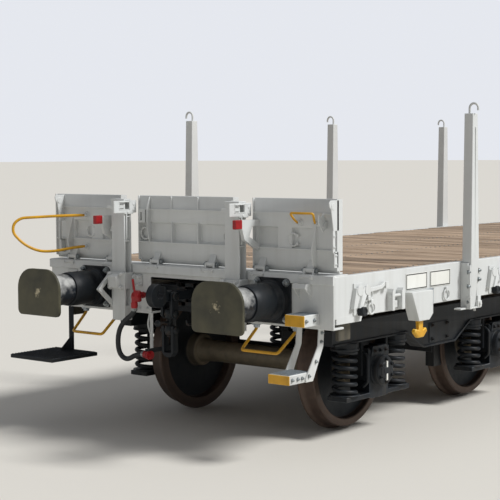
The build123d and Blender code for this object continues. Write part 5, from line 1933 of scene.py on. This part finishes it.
class WAGON_OT_stake_fittings(bpy.types.Operator):
    """Add the stakes' hook bars, levers, side plates and shoe bolts"""

    bl_idname = "wagon.stake_fittings"
    bl_label = "Stake fittings"

    def execute(self, context):
        out = -SIDE_Y
        hooks = Fitting()
        # The bar rises from the stake's top and turns down outside it
        top = above_rail_mm(2375)
        leg_y = -(SIDE_Y + 28)
        reach = 37
        route = [(leg_y, top - 12), (leg_y, top + 40)]
        for k in range(1, 13):
            angle = math.radians(180 * k / 12)
            route.append((leg_y - reach + reach * math.cos(angle), top + 40 + reach * math.sin(angle)))
        route.append((leg_y - 2 * reach, top + 22))
        for x in STAKE_XS:
            hooks.sweep([Vector((x, y, z)) for y, z in route], 9, 14)
        hooks.both_sides()
        hooks.finish(
            "stake_hook_bars", "underframe", "grey", "grey_paint", edge=0, replaces=("stake_hooks",)
        )

        part = Fitting()
        for x in STAKE_XS:
            # Slanted lever beside the stake, its bolt and the foot block with its keeper
            part.prism(
                [
                    (x + 62, 1000), (x + 96, 990), (x + 118, 1180), (x + 104, 1206), (x + 78, 1196),
                    (x + 62, 1100)
                ],
                "Y", (out - 62, out - 44),
            )
            part.rod((x + 94, out - 74, 1172), (x + 94, out - 2, 1172), 11, 12)
            part.block((x + 34, x + 92), (out - 92, out - 8), (912, 962))
            part.rod((x + 62, out - 104, 940), (x + 62, out - 90, 940), 14, 12)
            part.block((x - 84, x - 56), (out - 92, out - 58), (905, 1000))
            part.prism(
                [(x - 79, 1000), (x - 61, 1000), (x - 61, 1236), (x - 70, 1246), (x - 79, 1236)], "Y",
                (out - 86, out - 58)
            )
            part.rod((x + 50, out - 50, 902), (x + 50, out - 50, 880), 11, 12)
            part.block((x - 170, x - 78), (out - 58, out + 2), (904, 916))
            # Seam of the folded stake
            part.block((x - 4, x + 4), (out - 85.5, out - 80), (1290, 2300))
        part.both_sides()
        part.finish("stake_levers", "underframe", "grey", "grey_paint", "grey_edge", edge=0.002)
        seats = []
        for x in STAKE_XS:
            seats += [((x - 75, -out + 64, z), (0, 1, 0)) for z in (960, 1080, 1190)]
            seats += [((x + 75, -out + 70, z), (0, 1, 0)) for z in (1125, 1195)]
        fasteners(
            "stake_shoe_bolts", "underframe", "hexagon", sizes().bolt * 0.8, seats, "bolt",
            ends=False, sides=True
        )
        return {"FINISHED"}


class WAGON_OT_steps(bpy.types.Operator):
    """Add the step gratings and their yellow edges"""

    bl_idname = "wagon.steps"
    bl_label = "Steps"

    def execute(self, context):
        nosing = Fitting()
        nosing.block((HEADSTOCK_X - 176, HEADSTOCK_X - 169), (-1272, -1108), (935, 1013))
        nosing.block((HEADSTOCK_X - 326, HEADSTOCK_X - 319), (-1259, -1080), (561, 623))
        nosing.both_ends()
        nosing.finish("step_edges", "underframe", "yellow", "yellow_paint", "yellow_edge", edge=0.002)
        tread = Fitting()
        for x in range(-162, -8, 14):
            tread.block((HEADSTOCK_X + x, HEADSTOCK_X + x + 4), (-1258, -1122), (1013, 1018))
        for x in range(-312, -90, 14):
            tread.block((HEADSTOCK_X + x, HEADSTOCK_X + x + 4), (-1245, -1094), (623.5, 629))
        for y in range(-1250, -1120, 30):
            tread.block((HEADSTOCK_X - 162, HEADSTOCK_X - 10), (y, y + 4), (1013, 1016))
        for y in range(-1240, -1094, 30):
            tread.block((HEADSTOCK_X - 312, HEADSTOCK_X - 90), (y, y + 4), (623.5, 627))
        tread.both_ends()
        tread.finish("step_gratings", "underframe", "zinc", "grey_paint", edge=0)
        board = Fitting()
        for x in range(-460, 0, 30):
            board.block((HEADSTOCK_X + x, HEADSTOCK_X + x + 6), (900, 1355), (560.5, 565))
        board.both_ends()
        board.finish("step_board_ribs", "underframe", "black", "black_paint", edge=0)
        seats = []
        for face, side in ((-1269, -1), (-1070, 1)):
            for x, z in (
                (HEADSTOCK_X + 30, 880), (HEADSTOCK_X + 22, 820), (HEADSTOCK_X - 40, 690),
                (HEADSTOCK_X - 120, 600)
            ):
                seats.append(((x, face, z), (0, side, 0)))
        for x in (-290, -230, -180):
            seats.append(((HEADSTOCK_X + x, -1257, 592), (0, -1, 0)))
        for x in (-150, -60):
            seats.append(((HEADSTOCK_X + x, -1270, 974), (0, -1, 0)))
        fasteners("step_bolts", "underframe", "hexagon", 0.018, seats, "bolt")
        clips = Fitting()
        for y in RAIL_LEGS:
            clips.block((HEADSTOCK_X + 14, HEADSTOCK_X + 66), (y - 26, y + 26), (893, 905))
            clips.lathe(
                (HEADSTOCK_X + 40, y, 893), (0, 0, -1), [(0, 24), (18, 22), (20, 18), (20, 11.5)], 16
            )
        clips.both_sides()
        clips.both_ends()
        clips.finish("handrail_clips", "underframe", "zinc", "grey_paint", edge=0.001)
        return {"FINISHED"}


class WAGON_OT_bogie_fittings(bpy.types.Operator):
    """Add the axlebox covers, bolts, plates and dampers of the bogies"""

    bl_idname = "wagon.bogie_fittings"
    bl_label = "Bogie fittings"

    def execute(self, context):
        for end, sign in (("front", -1), ("rear", 1)):
            part, marks, seats = Fitting(), Fitting(), []
            for axle in (-AXLE_OFFSET, AXLE_OFFSET):
                x = sign * BOGIE_X + axle
                part.lathe(
                    (x, -1088, AXLE_Z), (0, -1, 0),
                    [
                        (0, 100), (0, 118), (8, 118), (12, 113), (50, 112), (56, 106), (60, 104), (64, 96),
                        (64, 70), (70, 62), (70, 34), (74, 28), (74, 0),
                    ],
                    48,
                )
                part.block((x - 135, x - 118), (-1086, -914), (420, 660))
                part.block((x + 118, x + 135), (-1086, -914), (420, 660))
                part.prism(
                    [(x - 118, 600), (x + 118, 600), (x + 96, 672), (x - 96, 672)], "Y", (-1100, -1062)
                )
                for offset in (-SPRING_OFFSET, SPRING_OFFSET):
                    part.lathe(
                        (x + offset, -1000, 328), (0, 0, 1),
                        [(0, 0), (0, 112), (10, 112), (12, 106), (12, 60), (30, 56), (30, 0)], 28,
                    )
                    part.lathe(
                        (x + offset, -1000, 678), (0, 0, -1),
                        [(0, 0), (0, 108), (14, 108), (16, 100), (16, 0)], 28,
                    )
                part.pipe(
                    [
                        (x - 180, -1068, 640), (x - 180, -1110, 610), (x - 180, -1110, 420),
                        (x - 180, -1068, 380)
                    ],
                    12, 20, 10
                )
                for z in ((512, 574), (402, 464)):
                    marks.block((x - 7, x + 9), (-1164, -1150), z)
                for k in range(6):
                    angle = math.radians(60 * k + 30)
                    seats.append(
                        ((x + 84 * math.cos(angle), 1152, AXLE_Z + 84 * math.sin(angle)), (0, 1, 0))
                    )
                seats += [((x + a, 1100, 636), (0, 1, 0)) for a in (-70, 0, 70)]
            middle = sign * BOGIE_X
            # Side bearer and the strips along the upper and lower edges of the side beam
            part.block((middle - 150, middle + 150), (-1066, -1058), (604, 760))
            part.prism(
                [(middle - 1400, 862), (middle - 1340, 884), (middle + 1340, 884), (middle + 1400, 862),
                 (middle + 1400, 850), (middle + 1340, 872), (middle - 1340, 872), (middle - 1400, 850)],
                "Y", (-1072, -1060),
            )
            part.prism(
                [(middle - 1440, 716), (middle - 480, 716), (middle - 240, 576), (middle + 240, 576), (middle + 480, 716),
                 (middle + 1440, 716), (middle + 1440, 730), (middle + 474, 730), (middle + 234, 590),
                 (middle - 234, 590),
                 (middle - 474, 730), (middle - 1440, 730)],
                "Y", (-1074, -1060),
            )
            part.both_sides()
            part.finish(
                f"{end}_bogie_castings", f"{end}_bogie", "black", "black_paint", "black_edge", 0.002
            )
            marks.both_sides()
            marks.finish(f"{end}_axlebox_marks", f"{end}_bogie", "sign", "grey_paint", edge=0)
            for x in (-110, 110):
                seats += [((middle + x, 1066, z), (0, 1, 0)) for z in (630, 740)]
            fasteners(
                f"{end}_bogie_bolts", f"{end}_bogie", "hexagon", 0.022, seats, "forged",
                ends=False, sides=True
            )
        return {"FINISHED"}


class WAGON_OT_underframe(bpy.types.Operator):
    """Add the pipes, stays and gussets under the deck"""

    bl_idname = "wagon.underframe"
    bl_label = "Underframe fittings"

    def execute(self, context):
        part = Fitting()
        for side in (-1, 1):
            for x in [k * 743 for k in range(-8, 9)]:
                part.prism(
                    [(side * 1375, 1110), (side * 1375, 1000), (side * 1300, 1110)], "X", (x - 5, x + 5)
                )
        part.pipe([(1300, 120, 906), (1300, 345, 940), (1300, 345, 1040)], 14, 40, 12)
        part.pipe(
            [(100, -590, 906), (100, -420, 906), (100, 200, 906), (400, 345, 1000), (400, 345, 1040)], 14,
            60, 12
        )
        part.pipe([(1790, 0, 906), (2400, 0, 906), (4000, 0, 860), (5600, 0, 760)], 18, 100, 12)
        part.finish("brake_pipework", "underframe", "black", "black_paint", edge=0)
        blocks = Fitting()
        blocks.block((-9190, -9043), (-1330, -1300), (812, 930))
        blocks.both_sides()
        blocks.both_ends()
        blocks.finish("corner_blocks", "underframe", "olive", "black_paint", edge=0.006)
        return {"FINISHED"}


class WAGON_OT_studio(bpy.types.Operator):
    """Set the pale floor, the soft lights and the camera"""

    bl_idname = "wagon.studio"
    bl_label = "Studio"

    def execute(self, context):
        scene = context.scene
        scene.view_settings.view_transform = "Standard"
        mesh = bpy.data.meshes.new("floor")
        reach = 400
        mesh.from_pydata(
            [(-reach, -reach, 0), (reach, -reach, 0), (reach, reach, 0), (-reach, reach, 0)], [],
            [(0, 1, 2, 3)]
        )
        floor = bpy.data.objects.new("floor", mesh)
        scene.collection.objects.link(floor)
        material, tree, shader, place = start_material("pale_floor")
        shader.inputs["Base Color"].default_value = rgba(tuple(studio().floor))
        shader.inputs["Roughness"].default_value = 0.9
        mesh.materials.append(material)

        world = bpy.data.worlds.new("studio_light")
        scene.world = world
        world.use_nodes = True
        tree = world.node_tree
        tree.nodes.clear()
        path = add_node(tree, "ShaderNodeLightPath")
        seen = add_node(
            tree,
            "ShaderNodeMapRange",
            {"Value": path.outputs["Is Camera Ray"], "To Min": studio().sky, "To Max": 0.86},
        )
        light = add_node(
            tree, "ShaderNodeBackground", {"Color": rgba(linear("#F5F8FF")), "Strength": seen.outputs[0]}
        )
        add_node(tree, "ShaderNodeOutputWorld", {"Surface": light.outputs[0]})

        lamp = bpy.data.lights.new("key", "SUN")
        lamp.energy = studio().sun
        lamp.angle = math.radians(16)
        key = bpy.data.objects.new("key", lamp)
        key.rotation_euler = Vector((0.35, -0.80, 0.85)).to_track_quat("Z", "Y").to_euler()
        scene.collection.objects.link(key)

        camera = bpy.data.objects.new("camera", bpy.data.cameras.new("camera"))
        camera.data.lens = studio().lens
        camera.data.sensor_width = 36
        camera.data.clip_start, camera.data.clip_end = 0.5, 2000
        yaw, pitch, roll = (math.radians(a) for a in (39.184, -3.989, -0.318))
        forward = Vector(
            (math.cos(pitch) * math.cos(yaw), math.cos(pitch) * math.sin(yaw), math.sin(pitch))
        )
        right = forward.cross(Vector((0, 0, 1))).normalized()
        up = right.cross(forward)
        level_right = right * math.cos(roll) + up * math.sin(roll)
        level_up = up * math.cos(roll) - right * math.sin(roll)
        turn = Matrix((level_right, level_up, -forward)).transposed()
        camera.matrix_world = Matrix.Translation((-16.7504, -6.7127, 2.0924)) @ turn.to_4x4()
        scene.collection.objects.link(camera)
        scene.camera = camera
        return {"FINISHED"}


class WAGON_PT_panel(bpy.types.Panel):
    """Lists the wagon's operators"""

    bl_idname = "WAGON_PT_panel"
    bl_label = "Bogie flat wagon"
    bl_space_type = "VIEW_3D"
    bl_region_type = "UI"
    bl_category = "Wagon"

    def draw(self, context):
        for group in (context.scene.wagon_colours, context.scene.wagon_sizes, context.scene.wagon_studio):
            box = self.layout.box()
            for name in group.bl_rna.properties.keys():
                if name not in ("rna_type", "name"):
                    box.prop(group, name)
        for operator in OPERATORS:
            self.layout.operator(operator.bl_idname)


GROUPS = (WagonColours, WagonSizes, WagonStudio)
OPERATORS = (
    WAGON_OT_painted_steel,
    WAGON_OT_springs,
    WAGON_OT_handles,
    WAGON_OT_wheelsets,
    WAGON_OT_air_vessels,
    WAGON_OT_deck,
    WAGON_OT_flap_fittings,
    WAGON_OT_post_fittings,
    WAGON_OT_buffers,
    WAGON_OT_drawgear,
    WAGON_OT_brake_ends,
    WAGON_OT_side_fittings,
    WAGON_OT_stake_fittings,
    WAGON_OT_steps,
    WAGON_OT_bogie_fittings,
    WAGON_OT_underframe,
    WAGON_OT_studio,
)
CLASSES = GROUPS + OPERATORS + (WAGON_PT_panel,)


def register():
    for cls in CLASSES:
        bpy.utils.register_class(cls)
    bpy.types.Scene.wagon_colours = PointerProperty(type=WagonColours)
    bpy.types.Scene.wagon_sizes = PointerProperty(type=WagonSizes)
    bpy.types.Scene.wagon_studio = PointerProperty(type=WagonStudio)


def unregister():
    for name in ("wagon_studio", "wagon_sizes", "wagon_colours"):
        delattr(bpy.types.Scene, name)
    for cls in reversed(CLASSES):
        bpy.utils.unregister_class(cls)


def main():
    register()
    for operator in OPERATORS:
        group, name = operator.bl_idname.split(".")
        getattr(getattr(bpy.ops, group), name)()


if __name__ == "__main__":
    main()
